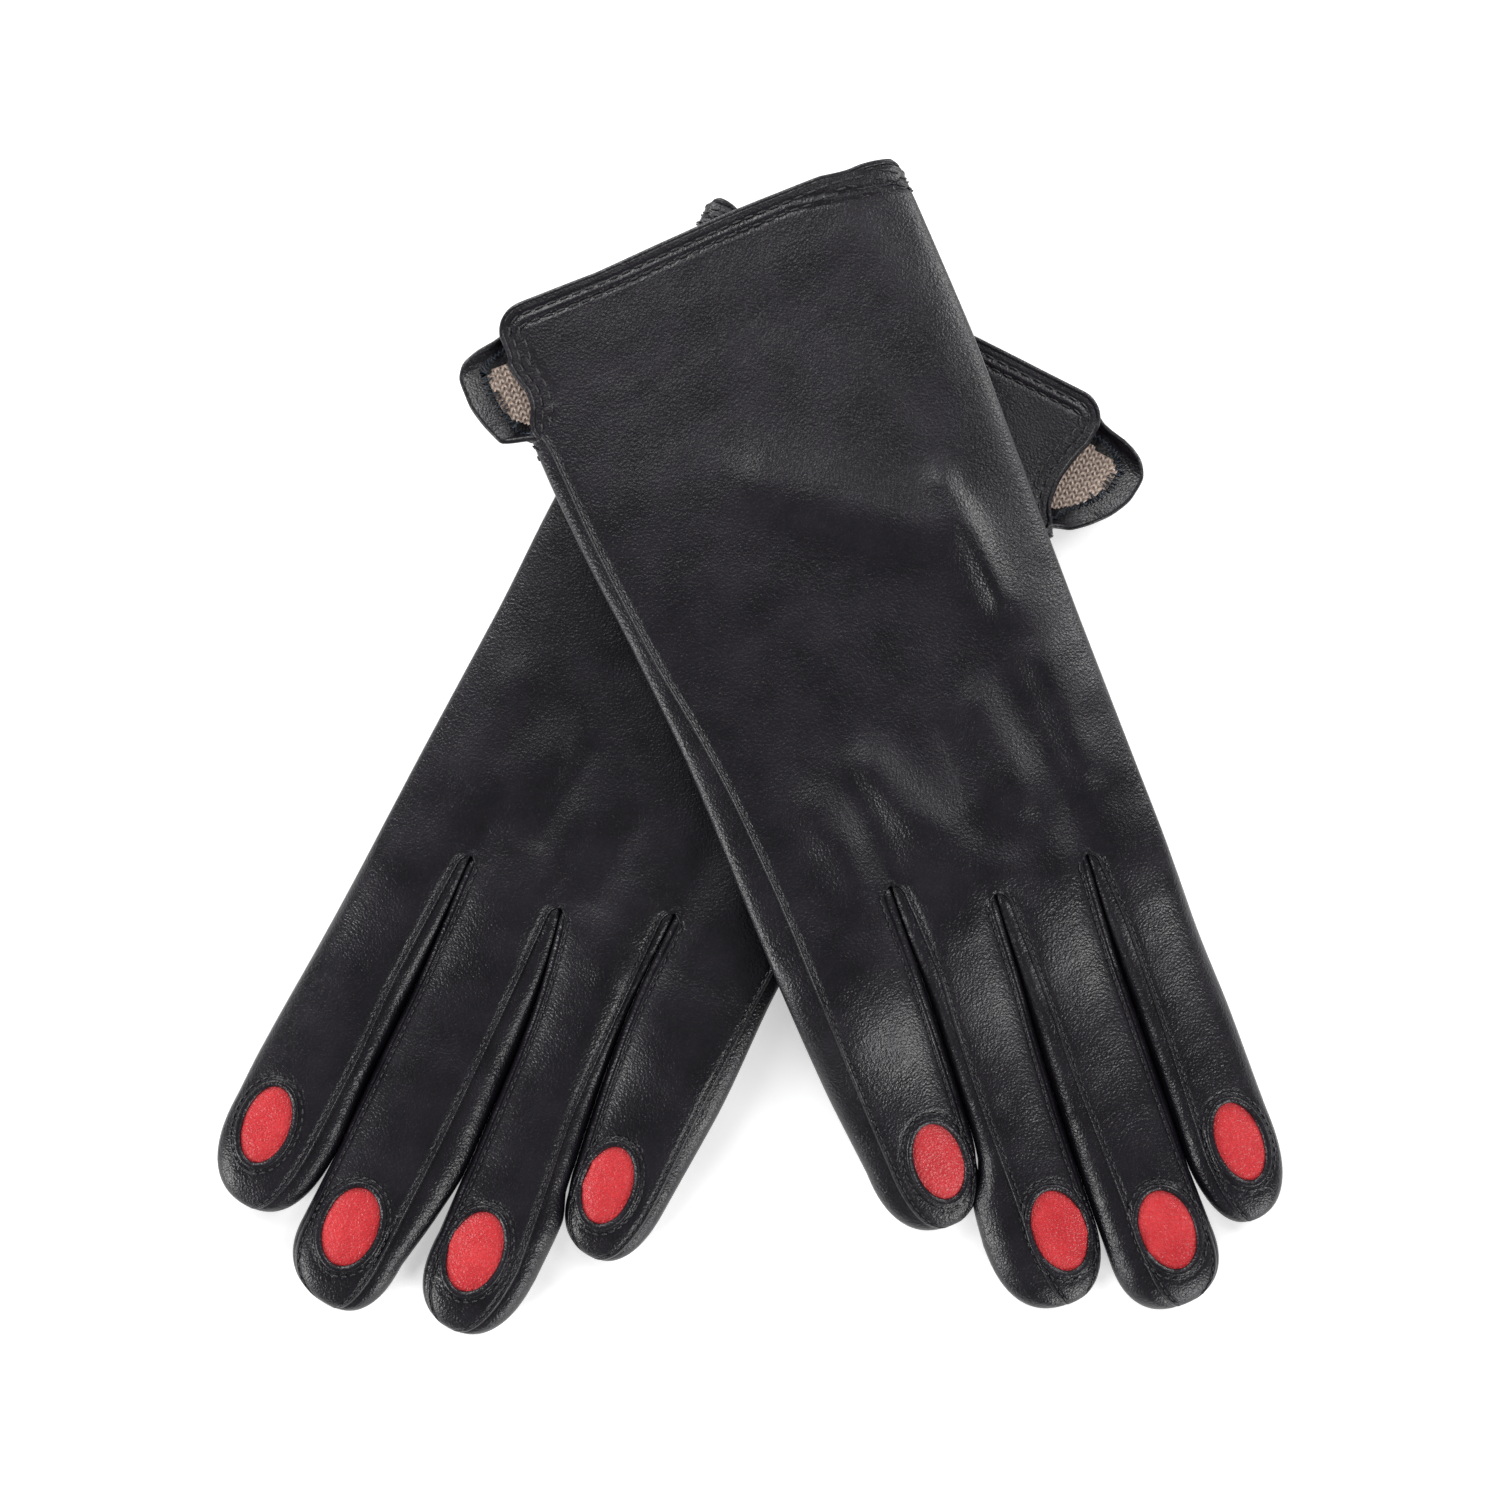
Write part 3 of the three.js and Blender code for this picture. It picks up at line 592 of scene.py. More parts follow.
def band(glove, finger, v, from_u, to_u, columns, t):
    """A band round the side of the hand and finger, from a line on the top to a line on the underside."""
    q = np.linspace(0, 1, columns)[None]
    along = placed(glove, from_u if t else 0 * v, v)
    ends = []
    hand, own = hand_shape(glove, along), finger_shape(glove, finger, along)
    for shape, exponent in ((hand, HAND_ROUND), (own, FINGER_ROUND)):
        start, stop = turn_at(shape, exponent, from_u), turn_at(shape, exponent, to_u, top=False)
        turn = lerp(start[:, None], (stop if t else stop + 2 * math.pi)[:, None], q)
        ends.append(on_section([x[:, None] for x in shape], exponent, turn))
    share = finger_share(glove, finger, along, t)[:, None]
    along = along[:, None] + 0 * q
    u, height = lerp(ends[0][0], ends[1][0], share), lerp(ends[0][1], ends[1][1], share)
    if t:
        along = placed(glove, u, v[:, None])
    rise = folds(glove, u, along) * tip_close(glove, finger, along)
    return u, along, height + rise * (1 - smooth(q)), q


def fold_grid(glove, v):
    """The fold of the trank at the index side."""
    edge = line(glove, "index", "seam_in", v)
    u, along, height, q = band(glove, "index", v, edge, edge, 17, 1)
    height = height + (LEATHER - cuff_dips(glove, u, along)) * (1 - smooth(q))
    return np.stack([u, along, height], 2)


def wrap_grid(glove, v):
    """The palm's leather, wrapped round the little-finger side to the closing seam, and open at the vent."""
    tuck = 0.4 * tip_close(glove, "little", v)
    seam, root = line(glove, "little", "seam_out", v) + tuck, palm_line(glove, "little", "out", v)
    u, along, height, q = band(glove, "little", v, seam, root, 21, 0)
    closed = np.stack([u, along, height - 0.1 * (1 - q)], 2)
    along = placed(glove, np.maximum(root, FLAP_ROOT), v)[:, None]
    edge = through(GLOVES[glove]["flap"], along)
    low = surface(glove, "little", root[:, None], along, top=False)
    out = np.clip((root[:, None] - edge) / 12, 0, 1)
    u = lerp(edge, root[:, None], q)
    height = low + FLAP_LIFT * out**0.7 * (1 - q) ** 2
    opened = np.stack([u, along + 0 * q, height], 2)
    return lerp(closed, opened, (1 - smooth((v - VENT + 2.2) / 3.2))[:, None, None])


def palm_line(glove, finger, side, v):
    """The edges of a finger's palm strip."""
    inset = {("little", "out"): WRAP_UNDER, ("index", "in"): fold_round(v)}.get((finger, side), 2.4)
    inset = inset * slit_open(glove, finger, side, v) * tip_close(glove, finger, v)
    return line(glove, finger, side, v) + (inset if side == "out" else -inset)


def palm_grid(glove, finger, v):
    """A finger's strip of the palm, from the cuff to the fingertip, with its edges turned at the slits."""
    left, right = palm_line(glove, finger, "out", v), palm_line(glove, finger, "in", v)
    edge = np.array([0, 0.3, 0.7, 1.3, 2.2])
    near = edge[None] * np.minimum(1, (right - left) / 7)[:, None]
    inner = lerp((left + near[:, -1])[:, None], (right - near[:, -1])[:, None], np.linspace(0, 1, 9)[None])
    u = np.concatenate([left[:, None] + near[:, :-1], inner, right[:, None] - near[:, -2::-1]], 1)
    along = placed(glove, np.maximum(u, FLAP_ROOT), v[:, None])
    height = surface(glove, finger, u, along, top=False)
    for side, distance in (("out", u - left[:, None]), ("in", right[:, None] - u)):
        slit = slit_beside(glove, finger, side)
        if slit:
            opened = smooth((along - slit[1]) / 3)
            height = height + 0.35 * opened * (1 - smooth(distance / 0.6))
    return np.stack([u, along, height], 2)


def wall_grid(glove, finger, side, v):
    """A fourchette: it starts at the top of a slit as a shallow gusset, and becomes the finger's side."""
    _, top_v = slit_beside(glove, finger, side)
    q = np.linspace(0, 1, 17)[None]
    inward = 1 if side == "out" else -1
    close, opened = tip_close(glove, finger, v), slit_open(glove, finger, side, v)
    along = v[:, None]
    seam = line(glove, finger, "seam_" + side, v) + inward * 0.4 * close * opened
    under = palm_line(glove, finger, side, v)
    own = finger_shape(glove, finger, v)
    turn_top, turn_under = turn_at(own, FINGER_ROUND, seam), turn_at(own, FINGER_ROUND, under, top=False)
    if side == "out":
        turn_under = turn_under + 2 * math.pi
    turn = lerp(turn_top[:, None], turn_under[:, None], q)
    u, height = on_section([x[:, None] for x in own], FINGER_ROUND, turn)
    start = surface(glove, finger, seam, v)[:, None] - 0.12
    finish = surface(glove, finger, under, v, top=False)[:, None]
    outline = line(glove, finger, side, v)[:, None]
    out = smooth(q / 0.3)
    down = np.clip((q - 0.3) / 0.7, 0, 1)
    steep_u = lerp(lerp(seam[:, None], outline, out), under[:, None], smooth((q - 0.75) / 0.25))
    steep_height = lerp(start - 0.9 * out, finish, down)
    settled = smooth((v - top_v) / 34)[:, None]
    from_start, from_finish = 1 - smooth(q / 0.6), smooth(q * 2 - 1)
    height = height + (start - height[:, :1]) * from_start + (finish - height[:, -1:]) * from_finish
    crest = np.sin(math.pi * np.clip(q / 0.34, 0, 1)) * (close * opened)[:, None]
    pucker = rough(6 * q + 0 * along, along + 0 * q, 12.3, 2.1) * 0.16
    steep_height = steep_height + (WELT + pucker) * crest
    height = height + (0.45 * WELT + pucker) * crest
    return np.stack([lerp(steep_u, u, settled), along + 0 * u, lerp(steep_height, height, settled)], 2)


# ---- meshes

JOINTS = {joint["name"]: joint for joint in frame["joints"]}


def glove_frame(glove):
    """Origin, across and along of the glove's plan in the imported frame, from its index finger's joint."""
    joint = JOINTS[f"{glove}_index_lift"]
    axis = np.array(joint["axis"])
    along = np.cross(UP, axis)
    across = axis if glove == "left" else -axis
    hinge = np.array(joint["pos_m"]) * 1000
    origin = hinge - across * INDEX_HINGE_U[glove] - along * HINGE_V["index"]
    return origin * [1, 1, 0], across, along


PLACES = {glove: glove_frame(glove) for glove in GLOVES}


def world(glove, points):
    """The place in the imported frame, in metres, of points of a glove's plan."""
    origin, across, along = PLACES[glove]
    flat = np.reshape(points, (-1, 3))
    return (origin + flat[:, :1] * across + flat[:, 1:2] * along + flat[:, 2:] * UP) / 1000


def grid_patch(points, flip=False, mask=None):
    """(points, faces) of a grid. Its outer side is across x along, unless flipped. mask picks its faces."""
    count, columns = points.shape[:2]
    i, j = np.meshgrid(np.arange(count - 1), np.arange(columns - 1), indexing="ij")
    first = i * columns + j
    first = first[mask] if mask is not None else first.ravel()
    quads = np.stack([first, first + 1, first + columns + 1, first + columns], 1)
    return points.reshape(-1, 3), quads[:, ::-1] if flip else quads


def joined(patches):
    """One (points, faces) from several."""
    points, faces, start = [], [], 0
    for spots, quads in patches:
        points.append(spots)
        faces.append(quads + start)
        start += len(spots)
    return np.concatenate(points), np.concatenate(faces)


def unit(vectors):
    return vectors / np.maximum(np.linalg.norm(vectors, axis=-1, keepdims=True), 1e-9)


def inside_of(points, depth):
    """A grid moved inwards along its own normals."""
    along, across = np.gradient(points, axis=0), np.gradient(points, axis=1)
    return points - unit(np.cross(across, along)) * depth


def tube(path, normals, wide, high, sides, closed=False):
    """A rounded cord along a path that lies on a surface with these normals."""
    tangent = unit(np.roll(path, -1, 0) - np.roll(path, 1, 0) if closed else np.gradient(path, axis=0))
    side = unit(np.cross(normals, tangent))
    up = np.cross(tangent, side)
    turn = circle(sides + 1)[None, :, None]
    size = np.ones(len(path))
    if not closed:
        size[[0, -1]], size[[1, -2]] = 0, 0.75
    ring = wide * np.cos(turn) * side[:, None] + high * np.sin(turn) * up[:, None]
    points = path[:, None] + size[:, None, None] * ring
    if closed:
        points = np.concatenate([points, points[:1]])
    return grid_patch(points)


def lengths(path):
    """The distance along a path at each of its points."""
    return np.concatenate([[0], np.cumsum(np.linalg.norm(np.diff(path, axis=0), axis=1))])


def values_at(at, length, values):
    """Values that are known at some lengths, read at others."""
    return np.stack([np.interp(at, length, values[:, k]) for k in range(3)], 1)


def spaced(path, step):
    """Points at equal steps along a path."""
    length = lengths(path)
    count = max(int(length[-1] / step), 1)
    return values_at((np.arange(count) + 0.5) * length[-1] / count, length, path)


def nearest(tree, spots):
    """The points of a surface that are nearest to these spots, and its normals there."""
    found = [tree.find_nearest(Vector(spot)) for spot in spots]
    return np.array([hit[0] for hit in found]), np.array([hit[1] for hit in found])


def capsule(length, radius):
    """The six-sided grid of a short thread with rounded ends, along its first axis."""
    ends = np.array([0, 0.22, 0.6, 1])
    steps = np.concatenate([ends - 1, [0], 1 - ends[::-1]])
    radii = np.sqrt(1 - np.abs(steps) ** 3)
    turn = circle(7)
    ring = radii[:, None] * radius
    return np.stack([steps[:, None] * length / 2 + 0 * turn, ring * np.cos(turn), ring * np.sin(turn)], 2)


def stitches(path, tree, length=STITCH_LENGTH, pitch=STITCH_PITCH, radius=STITCH_RADIUS):
    """Single stitches on a surface, along a path near it."""
    spots = spaced(path, pitch)
    tangent = unit(np.gradient(spots, axis=0)) if len(spots) > 1 else unit(path[-1:] - path[:1])
    centre, normal = nearest(tree, spots)
    side = unit(np.cross(normal, tangent))
    thread, quads = grid_patch(capsule(length, radius))
    points = (centre + normal * STITCH_PROUD)[:, None]
    for k, way in enumerate((np.cross(side, normal), side, normal)):
        points = points + thread[None, :, k : k + 1] * way[:, None]
    offsets = np.arange(len(spots))[:, None, None] * len(thread)
    return points.reshape(-1, 3), (quads[None] + offsets).reshape(-1, 4)


def tree_of(patches):
    """The patches as one surface to look for nearest points on."""
    points, faces = joined(patches)
    return BVHTree.FromPolygons(points.tolist(), faces.tolist())


def mesh_piece(glove, part, patches, material, *nodes, slot="black_leather"):
    """A piece of a glove, which stands for these nodes of its CAD."""
    name = f"{glove}_{part}"
    points, faces = joined(patches)
    if glove == "right":
        faces = faces[:, ::-1]
    mesh = bpy.data.meshes.new(name)
    mesh.from_pydata(world(glove, points).tolist(), [], faces.tolist())
    mesh.materials.append(material)
    shape = bmesh.new()
    shape.from_mesh(mesh)
    bmesh.ops.remove_doubles(shape, verts=shape.verts, dist=WELD)
    for face in shape.faces:
        face.smooth = True
    shape.to_mesh(mesh)
    shape.free()
    made = bpy.data.objects.new(name, mesh)
    bpy.context.scene.collection.objects.link(made)
    if nodes:
        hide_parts(*(f"{glove}_{node}" for node in nodes))
    return made


def share_normals(pieces):
    """Neighbouring pieces of one leather get the same normals where they meet, so that no line shows."""
    total, keys = {}, {}
    for piece in pieces:
        spots = [tuple(np.round(np.array(point.co) * 1e5, 1)) for point in piece.data.vertices]
        keys[piece.name] = spots
        for face in piece.data.polygons:
            push = face.normal * face.area
            for corner in face.vertices:
                total[spots[corner]] = total.get(spots[corner], Vector()) + push
    for piece in pieces:
        normals = [total.get(spot, Vector((0, 0, 1))).normalized() for spot in keys[piece.name]]
        piece.data.normals_split_custom_set_from_vertices(normals)


def bend(piece, glove, finger):
    """Bakes the piece's placement into its points; nothing makes it bend with the finger."""
    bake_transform(piece)


# ---- materials


class Look:
    """A Principled material, with short ways to add nodes to it."""

    def __init__(self, name, colour, roughness, **constants):
        self.material = bpy.data.materials.new(name)
        self.material.use_nodes = True
        self.tree = self.material.node_tree
        self.shader = self.tree.nodes["Principled BSDF"].inputs
        self.shader["Base Color"].default_value = (*colour, 1)
        self.shader["Roughness"].default_value = roughness
        for socket, value in constants.items():
            self.shader[socket.replace("_", " ")].default_value = value
        self.where = self.tree.nodes.new("ShaderNodeTexCoord").outputs["Object"]
        self.relief = None

    def node(self, kind, output, inputs, **settings):
        """One of the outputs of a new node, whose inputs are sockets or values."""
        made = self.tree.nodes.new("ShaderNode" + kind)
        for setting, value in settings.items():
            setattr(made, setting, value)
        for socket, value in inputs.items():
            if isinstance(value, bpy.types.NodeSocket):
                self.tree.links.new(value, made.inputs[socket])
            else:
                made.inputs[socket].default_value = value
        return made.outputs[output]

    def noise(self, scale, detail=3):
        return self.node("TexNoise", "Fac", {"Scale": scale, "Detail": detail, "Vector": self.where})

    def cells(self, scale, feature):
        return self.node("TexVoronoi", "Distance", {"Scale": scale, "Vector": self.where}, feature=feature)

    def math(self, operation, *values):
        return self.node("Math", "Value", dict(enumerate(values)), operation=operation)

    def ramp(self, value, low, high, from_low=0, from_high=1):
        """low to high, as the value goes from from_low to from_high."""
        ends = {"From Min": from_low, "From Max": from_high, "To Min": low, "To Max": high}
        return self.node("MapRange", "Result", {"Value": value, **ends})

    def tone(self, value, dark, light):
        """Makes the colour dark where the value is 0 and light where it is 1."""
        mix = self.node("Mix", 2, {0: value, 6: (*dark, 1), 7: (*light, 1)}, data_type="RGBA")
        self.tree.links.new(mix, self.shader["Base Color"])

    def bump(self, height, distance, strength=1):
        """Adds relief over the relief that is there."""
        under = {"Normal": self.relief} if self.relief else {}
        inputs = {"Height": height, "Distance": distance, "Strength": strength, **under}
        self.relief = self.node("Bump", "Normal", inputs)
        self.tree.links.new(self.relief, self.shader["Normal"])


def leather(name, dark, light, rough_low, rough_high, grain, gloss):
    """Fine-grained leather: small pebbles with creases between them, uneven in tone and sheen, with painted
    shade darkening the colour along the creases.
    """
    look = Look(name, dark, rough_low, Specular_IOR_Level=gloss)
    broad, creases = look.noise(90), look.cells(1250, "DISTANCE_TO_EDGE")
    uneven, painted_crease_shade = look.ramp(broad, 0, 0.55, 0.3, 0.7), look.ramp(creases, 0, 0.45, 0, 0.3)
    # Colour: a random uneven tone, plus painted shade that darkens it along the creases of the grain.
    look.tone(look.math("ADD", uneven, painted_crease_shade), dark, light)
    look.tree.links.new(look.ramp(broad, rough_low, rough_high, 0.3, 0.7), look.shader["Roughness"])
    look.bump(look.ramp(creases, 0, 1, 0, 0.2), grain * 0.3)
    look.bump(look.cells(1700, "F1"), grain, 0.9)
    look.bump(look.noise(2600, 2), grain * 0.1)
    return look.material


def knit(glove):
    """A fine stockinette along the glove: columns of small V-shaped loops, with a little fuzz, painted
    highlight on the loops' tops and painted shade in the gaps between them.
    """
    look = Look(f"lining_knit_{glove}", (0.42, 0.32, 0.26), 0.95, Sheen_Weight=0.3, Sheen_Roughness=0.5)
    fuzz = look.noise(1500)
    across, along = (
        look.node("VectorMath", "Value", {0: look.where, 1: way}, operation="DOT_PRODUCT")
        for way in PLACES[glove][1:]
    )
    wave = look.math("MULTIPLY", look.math("SUBTRACT", fuzz, 0.5), 0.0006)
    column = look.math("DIVIDE", look.math("ADD", across, wave), KNIT_COLUMN)
    leg = look.math("PINGPONG", column, 0.5)
    row = look.math("ADD", look.math("DIVIDE", along, KNIT_ROW), look.math("MULTIPLY", leg, 1.3))
    loop = look.math("MULTIPLY", look.math("PINGPONG", row, 0.5), 1.1)
    beside = look.math("MULTIPLY", look.math("PINGPONG", leg, 0.25), 1.8)
    height = look.math("ADD", loop, beside)
    # Painted light and shade: the colour is lighter on the tops of the loops and darker in the gaps between
    # them.
    look.tone(look.ramp(height, 0, 1, 0.1, 0.8), (0.16, 0.11, 0.085), (0.66, 0.52, 0.44))
    look.bump(height, 0.0005)
    look.bump(fuzz, 0.00015)
    return look.material


def spun(name, dark, light):
    """Spun thread, with its fibres twisted round it, with painted sheen on the ridges of the twist and
    painted shade between them.
    """
    look = Look(name, dark, 0.45)
    strands = look.node("TexWave", "Fac", {"Scale": 900, "Vector": look.where}, bands_direction="DIAGONAL")
    # Painted sheen and shade: the colour is lighter where the strands stand up and darker between them.
    look.tone(strands, dark, light)
    look.bump(strands, 0.00004)
    return look.material


BLACK = leather("black_leather", (0.0022, 0.0017, 0.0032), (0.0096, 0.0076, 0.0126), 0.31, 0.39, 8e-5, 0.42)
RED = leather("red_leather", (0.43, 0.014, 0.02), (0.66, 0.036, 0.042), 0.36, 0.46, 15e-5, 0.5)
KNIT = {glove: knit(glove) for glove in GLOVES}
THREAD = spun("black_thread", (0.006, 0.006, 0.007), (0.03, 0.03, 0.035))
OVERLOCK = spun("overlock_thread", (0.008, 0.012, 0.02), (0.04, 0.055, 0.08))

# ---- leather, seams and nails of the fingers


def seam_path(glove, finger, kind, v):
    """The line of stitches beside an edge of a back panel."""
    inward = 1 if kind.endswith("out") else -1
    inset = STITCH_INSET * np.minimum(1, tip_close(glove, finger, v) * 2)
    u = line(glove, finger, kind, v) + inward * inset
    return np.stack([u, v, panel_height(glove, finger, u, v)], 1)


def nail_oval(glove, finger, grow, turn):
    """The oval of a nail's window, grown by some millimetres, on the finger's back."""
    middle_u, middle_v, wide, long, tilt = GLOVES[glove][finger]["nail"]
    c, s = cos_sin(tilt)
    across, along = (wide / 2 + grow) * np.cos(turn), (long / 2 + grow) * np.sin(turn)
    u, v = middle_u + across * c + along * s, middle_v - across * s + along * c
    return np.stack([u, v, panel_height(glove, finger, u, v, window=False)], -1)


def nail_patch(glove, finger):
    """The red leather in a nail's window: a low cushion with fine wrinkles, which goes on under the edge."""
    half = min(GLOVES[glove][finger]["nail"][2:4]) / 2
    share = np.array([*np.linspace(0, 0.8, 13), 0.87, 0.93, 0.98, 1.03, 1.09])[:, None]
    patch = np.stack([nail_oval(glove, finger, half * (part - 1), circle(73)) for part in share[:, 0]])
    u, v = patch[..., 0], patch[..., 1]
    seed = 20 + 3 * FINGERS.index(finger) + 11 * (glove == "left")
    crinkle = 0.15 * rough(u, v * 0.6, seed, 4) + 0.05 * rough(u, v, seed, 1.2)
    patch[..., 2] += -0.42 + 0.22 * (1 - share**2)
    patch[..., 2] += crinkle * np.minimum(1, 4 * (share[-1] - share))
    return grid_patch(patch)


def nail_pieces(glove, finger, tree):
    """The red patch, the turned edge round it and its stitches."""
    name = f"{finger}_nail"
    ring = nail_oval(glove, finger, RIM * 0.75, circle(97)[:-1])
    rim = tube(ring - 0.05 * UP, unit(nearest(tree, ring)[1] + UP), RIM, 0.5, 12, closed=True)
    sewn = stitches(nail_oval(glove, finger, NAIL_STITCH, circle(97)), tree)
    return [
        mesh_piece(glove, f"{name}_patch", [nail_patch(glove, finger)], RED, name, slot="red_leather"),
        mesh_piece(glove, f"{name}_edge", [rim], BLACK),
        mesh_piece(glove, f"{name}_stitches", [sewn], THREAD),
    ]


def knit_piece(glove, node, patch):
    return mesh_piece(glove, f"{node}_knit", [patch], KNIT[glove], node, slot="lining_knit")


def finger_lining(glove, finger):
    """The knit inside a finger: a tube that is closed at the fingertip."""
    tip = GLOVES[glove][finger]["tip"][1]
    end = tip - 12 + 10 * np.sin(np.linspace(0, 1.57, 8))
    v = np.array([*np.arange(HINGE_V[finger] + 1, tip - 12, 4), *end])
    middle, wide, low, half = (x[:, None] for x in finger_shape(glove, finger, v))
    close = np.minimum(1, ((tip - 1.9 - v) / 8).clip(0) ** 0.5)[:, None]
    inner_half = (half - 1.5) * close
    inner = (middle, np.maximum(wide - 1.6, 0.3) * close, low + half - inner_half, inner_half)
    u, height = on_section(inner, FINGER_ROUND, circle(33)[None])
    patch = grid_patch(np.stack([u, v[:, None] + 0 * u, height], 2))
    return knit_piece(glove, f"{finger}_lining", patch)


def finger_seams(glove, finger):
    """The lines of stitches along a finger's back panel. The index has none at its fold."""
    lines = GLOVES[glove][finger]
    end = lines["tip"][1] - lines["round"] * 0.07
    paths = []
    for kind in ("seam_out", "seam_in"):
        if kind in lines:
            slit = slit_beside(glove, finger, kind)
            start = slit[1] + 1.6 if slit else HINGE_V[finger]
            paths.append(seam_path(glove, finger, kind, np.linspace(start, end, 200)))
    return paths


def finger_pieces(glove, finger, hand_patches):
    """All pieces of a finger, and those whose leather goes on into the hand's."""
    tip = GLOVES[glove][finger]["tip"][1]
    v = rows(glove, finger, HINGE_V[finger], tip)
    back = [grid_patch(back_grid(glove, finger, v))]
    palm = [grid_patch(palm_grid(glove, finger, v), flip=True)]
    if finger == "index":
        back.append(grid_patch(fold_grid(glove, v)))
    if finger == "little":
        palm.append(grid_patch(wrap_grid(glove, v), flip=True))
    tree = tree_of(back + palm + hand_patches)
    leathers = [
        mesh_piece(glove, f"{finger}_{side}_leather", patches, BLACK, f"{finger}_{side}")
        for side, patches in (("back", back), ("palm", palm))
    ]
    made = list(leathers)
    for side, word in (("out", "ulnar"), ("in", "radial")):
        slit = slit_beside(glove, finger, side)
        if slit:
            wall = wall_grid(glove, finger, side, rows(glove, finger, slit[1], tip))
            name, patch = f"{finger}_fourchette_{word}", grid_patch(wall, flip=side == "out")
            made.append(mesh_piece(glove, f"{name}_leather", [patch], BLACK, name))
    sewn = [stitches(path, tree) for path in finger_seams(glove, finger)]
    made.append(mesh_piece(glove, f"{finger}_seam_stitches", sewn, THREAD))
    made += nail_pieces(glove, finger, tree)
    made.append(finger_lining(glove, finger))
    return made, leathers


# ---- the cuff

TURNED = 5  # the column of the trank where its rolled edge is back at its full height
HEM_STEP = 0.6


def cuff_loop(glove, v):
    """The whole trank as one grid, from the back's vent edge round the index side to the flap's edge."""
    parts = [back_grid(glove, finger, v)[:, :-1] for finger in FINGERS]
    parts.append(fold_grid(glove, v)[:, :-1])
    parts += [palm_grid(glove, finger, v)[:, :0:-1] for finger in FINGERS[::-1]]
    parts.append(wrap_grid(glove, v)[:, ::-1])
    return np.concatenate(parts, 1)


def round_hem(grid, vent, column=0):
    """A grid's points along the hem: down the back's side of the vent, round the cuff and up the flap."""
    return np.concatenate([grid[vent:0:-1, column], grid[0], grid[1 : vent + 1, -1]])


def from_edge(loop, edge):
    """How far the middle of each of the loop's faces lies from its edge."""
    middles = (loop[:-1, :-1] + loop[1:, 1:] + loop[:-1, 1:] + loop[1:, :-1]) / 4
    tree = KDTree(len(edge))
    for number, spot in enumerate(edge):
        tree.insert(Vector(spot), number)
    tree.balance()
    distances = [tree.find(Vector(spot))[2] for spot in middles.reshape(-1, 3)]
    return np.reshape(distances, middles.shape[:2])


def cuff_linings(loop, vent):
    """The back's and the palm's facing inside the cuff and the vent, and the knit inside them."""
    faced = from_edge(loop, round_hem(loop, vent)) < FACING
    on_back = np.arange(loop.shape[1] - 1)[None] < loop.shape[1] // 2
    strip = inside_of(loop, FACING_DEPTH)
    masks = {"back": faced & on_back, "palm": faced & ~on_back}
    facings = {side: grid_patch(strip, True, mask) for side, mask in masks.items()}
    return facings, grid_patch(inside_of(loop, LINING_DEPTH), True, ~faced)


def cuff_hem(loop, vent):
    """Even points along the hem: how far along, where, which ways are out and in, and the halfway one."""
    outward = unit(np.cross(unit(np.gradient(loop, axis=1)), unit(np.gradient(loop, axis=0))))
    level = loop.copy()
    level[:, 0, 2] = loop[:, TURNED, 2]
    edge = round_hem(level, vent)
    length = lengths(edge)
    at = np.linspace(0, length[-1], int(length[-1] / HEM_STEP))
    edge, outward = values_at(at, length, edge), unit(values_at(at, length, round_hem(outward, vent, TURNED)))
    inward = unit(np.cross(outward, unit(np.gradient(edge, axis=0))))
    halfway = int(np.argmin(np.abs(at - (length[vent] + length[-vent]) / 2)))
    return at, edge, outward, inward, halfway


def overlock(hem, tree):
    """The zigzag thread that sews the facing to the knit."""
    at, edge, _, inward, _ = hem
    zigzag = np.where(np.arange(len(edge)) % 2, FACING - 1.1, FACING + 1.3) + rough(at, 0 * at, 5.5, 2) * 0.3
    thread, normals = nearest(tree, edge + inward * zigzag[:, None])
    return tube(thread + 0.12 * normals, normals, 0.34, 0.28, 6)


def vent_tack(glove, tree):
    """A few stitches across the top of the vent, close together."""
    start = line(glove, "little", "seam_out", np.array([VENT + 0.5]))[0]
    across = np.array([[start - 0.9, 0, 20], [start + 2.6, 0, 20]])
    places = np.arange(VENT - 0.6, VENT + 1.8, 0.42)
    return [stitches(across + [0, v, 0], tree, 3.1, 4, 0.2) for v in places]


def cuff_pieces(glove, tree):
    """The piped edge, the facing, the lining and the stitches of the cuff and the vent."""
    v = [-4, -3.6, -3.1, -2.5, -1.9, -1.2, -0.6, 0, 0.6, *np.arange(1.4, 18, 0.8)]
    v = np.array([*v, *np.arange(18, VENT + 1, 0.5), *np.arange(29, 141, 4)])
    loop = cuff_loop(glove, v)
    vent = int(np.sum(v <= VENT))
    facings, lining = cuff_linings(loop, vent)
    hem = cuff_hem(loop, vent)
    _, edge, outward, inward, halfway = hem
    cord = edge - 0.35 * outward
    made = []
    for side, part in (("back", slice(0, halfway + 1)), ("palm", slice(halfway, None))):
        name = f"cuff_facing_{side}"
        piping = tube(cord[part], outward[part], PIPING, PIPING, 12)
        made.append(mesh_piece(glove, f"{name}_leather", [facings[side], piping], BLACK, name))
        sewn = [stitches((edge + inward * row)[part], tree, CUFF_STITCH, CUFF_PITCH) for row in CUFF_STITCHES]
        made.append(mesh_piece(glove, f"cuff_stitches_{side}", sewn, THREAD))
    zigzag = overlock(hem, tree_of([*facings.values(), lining]))
    return made + [
        knit_piece(glove, "hand_lining", lining),
        mesh_piece(glove, "cuff_overlock", [zigzag], OVERLOCK),
        mesh_piece(glove, "cuff_vent_tack", vent_tack(glove, tree), THREAD),
    ]


# ---- the thumb


def thumb_place(glove, across, along, height):
    """A point of the thumb in the glove's plan, from its own across, along and height over the floor."""
    c, s = cos_sin(THUMB["turn"])
    u, v = THUMB["u"] - s * along + c * across, THUMB["v"] + c * along + s * across
    floor = rest_height(glove, np.array([THUMB["v"]]))[0] - ARCH
    return np.stack([u + 0 * height, v + 0 * height, floor + height], -1)


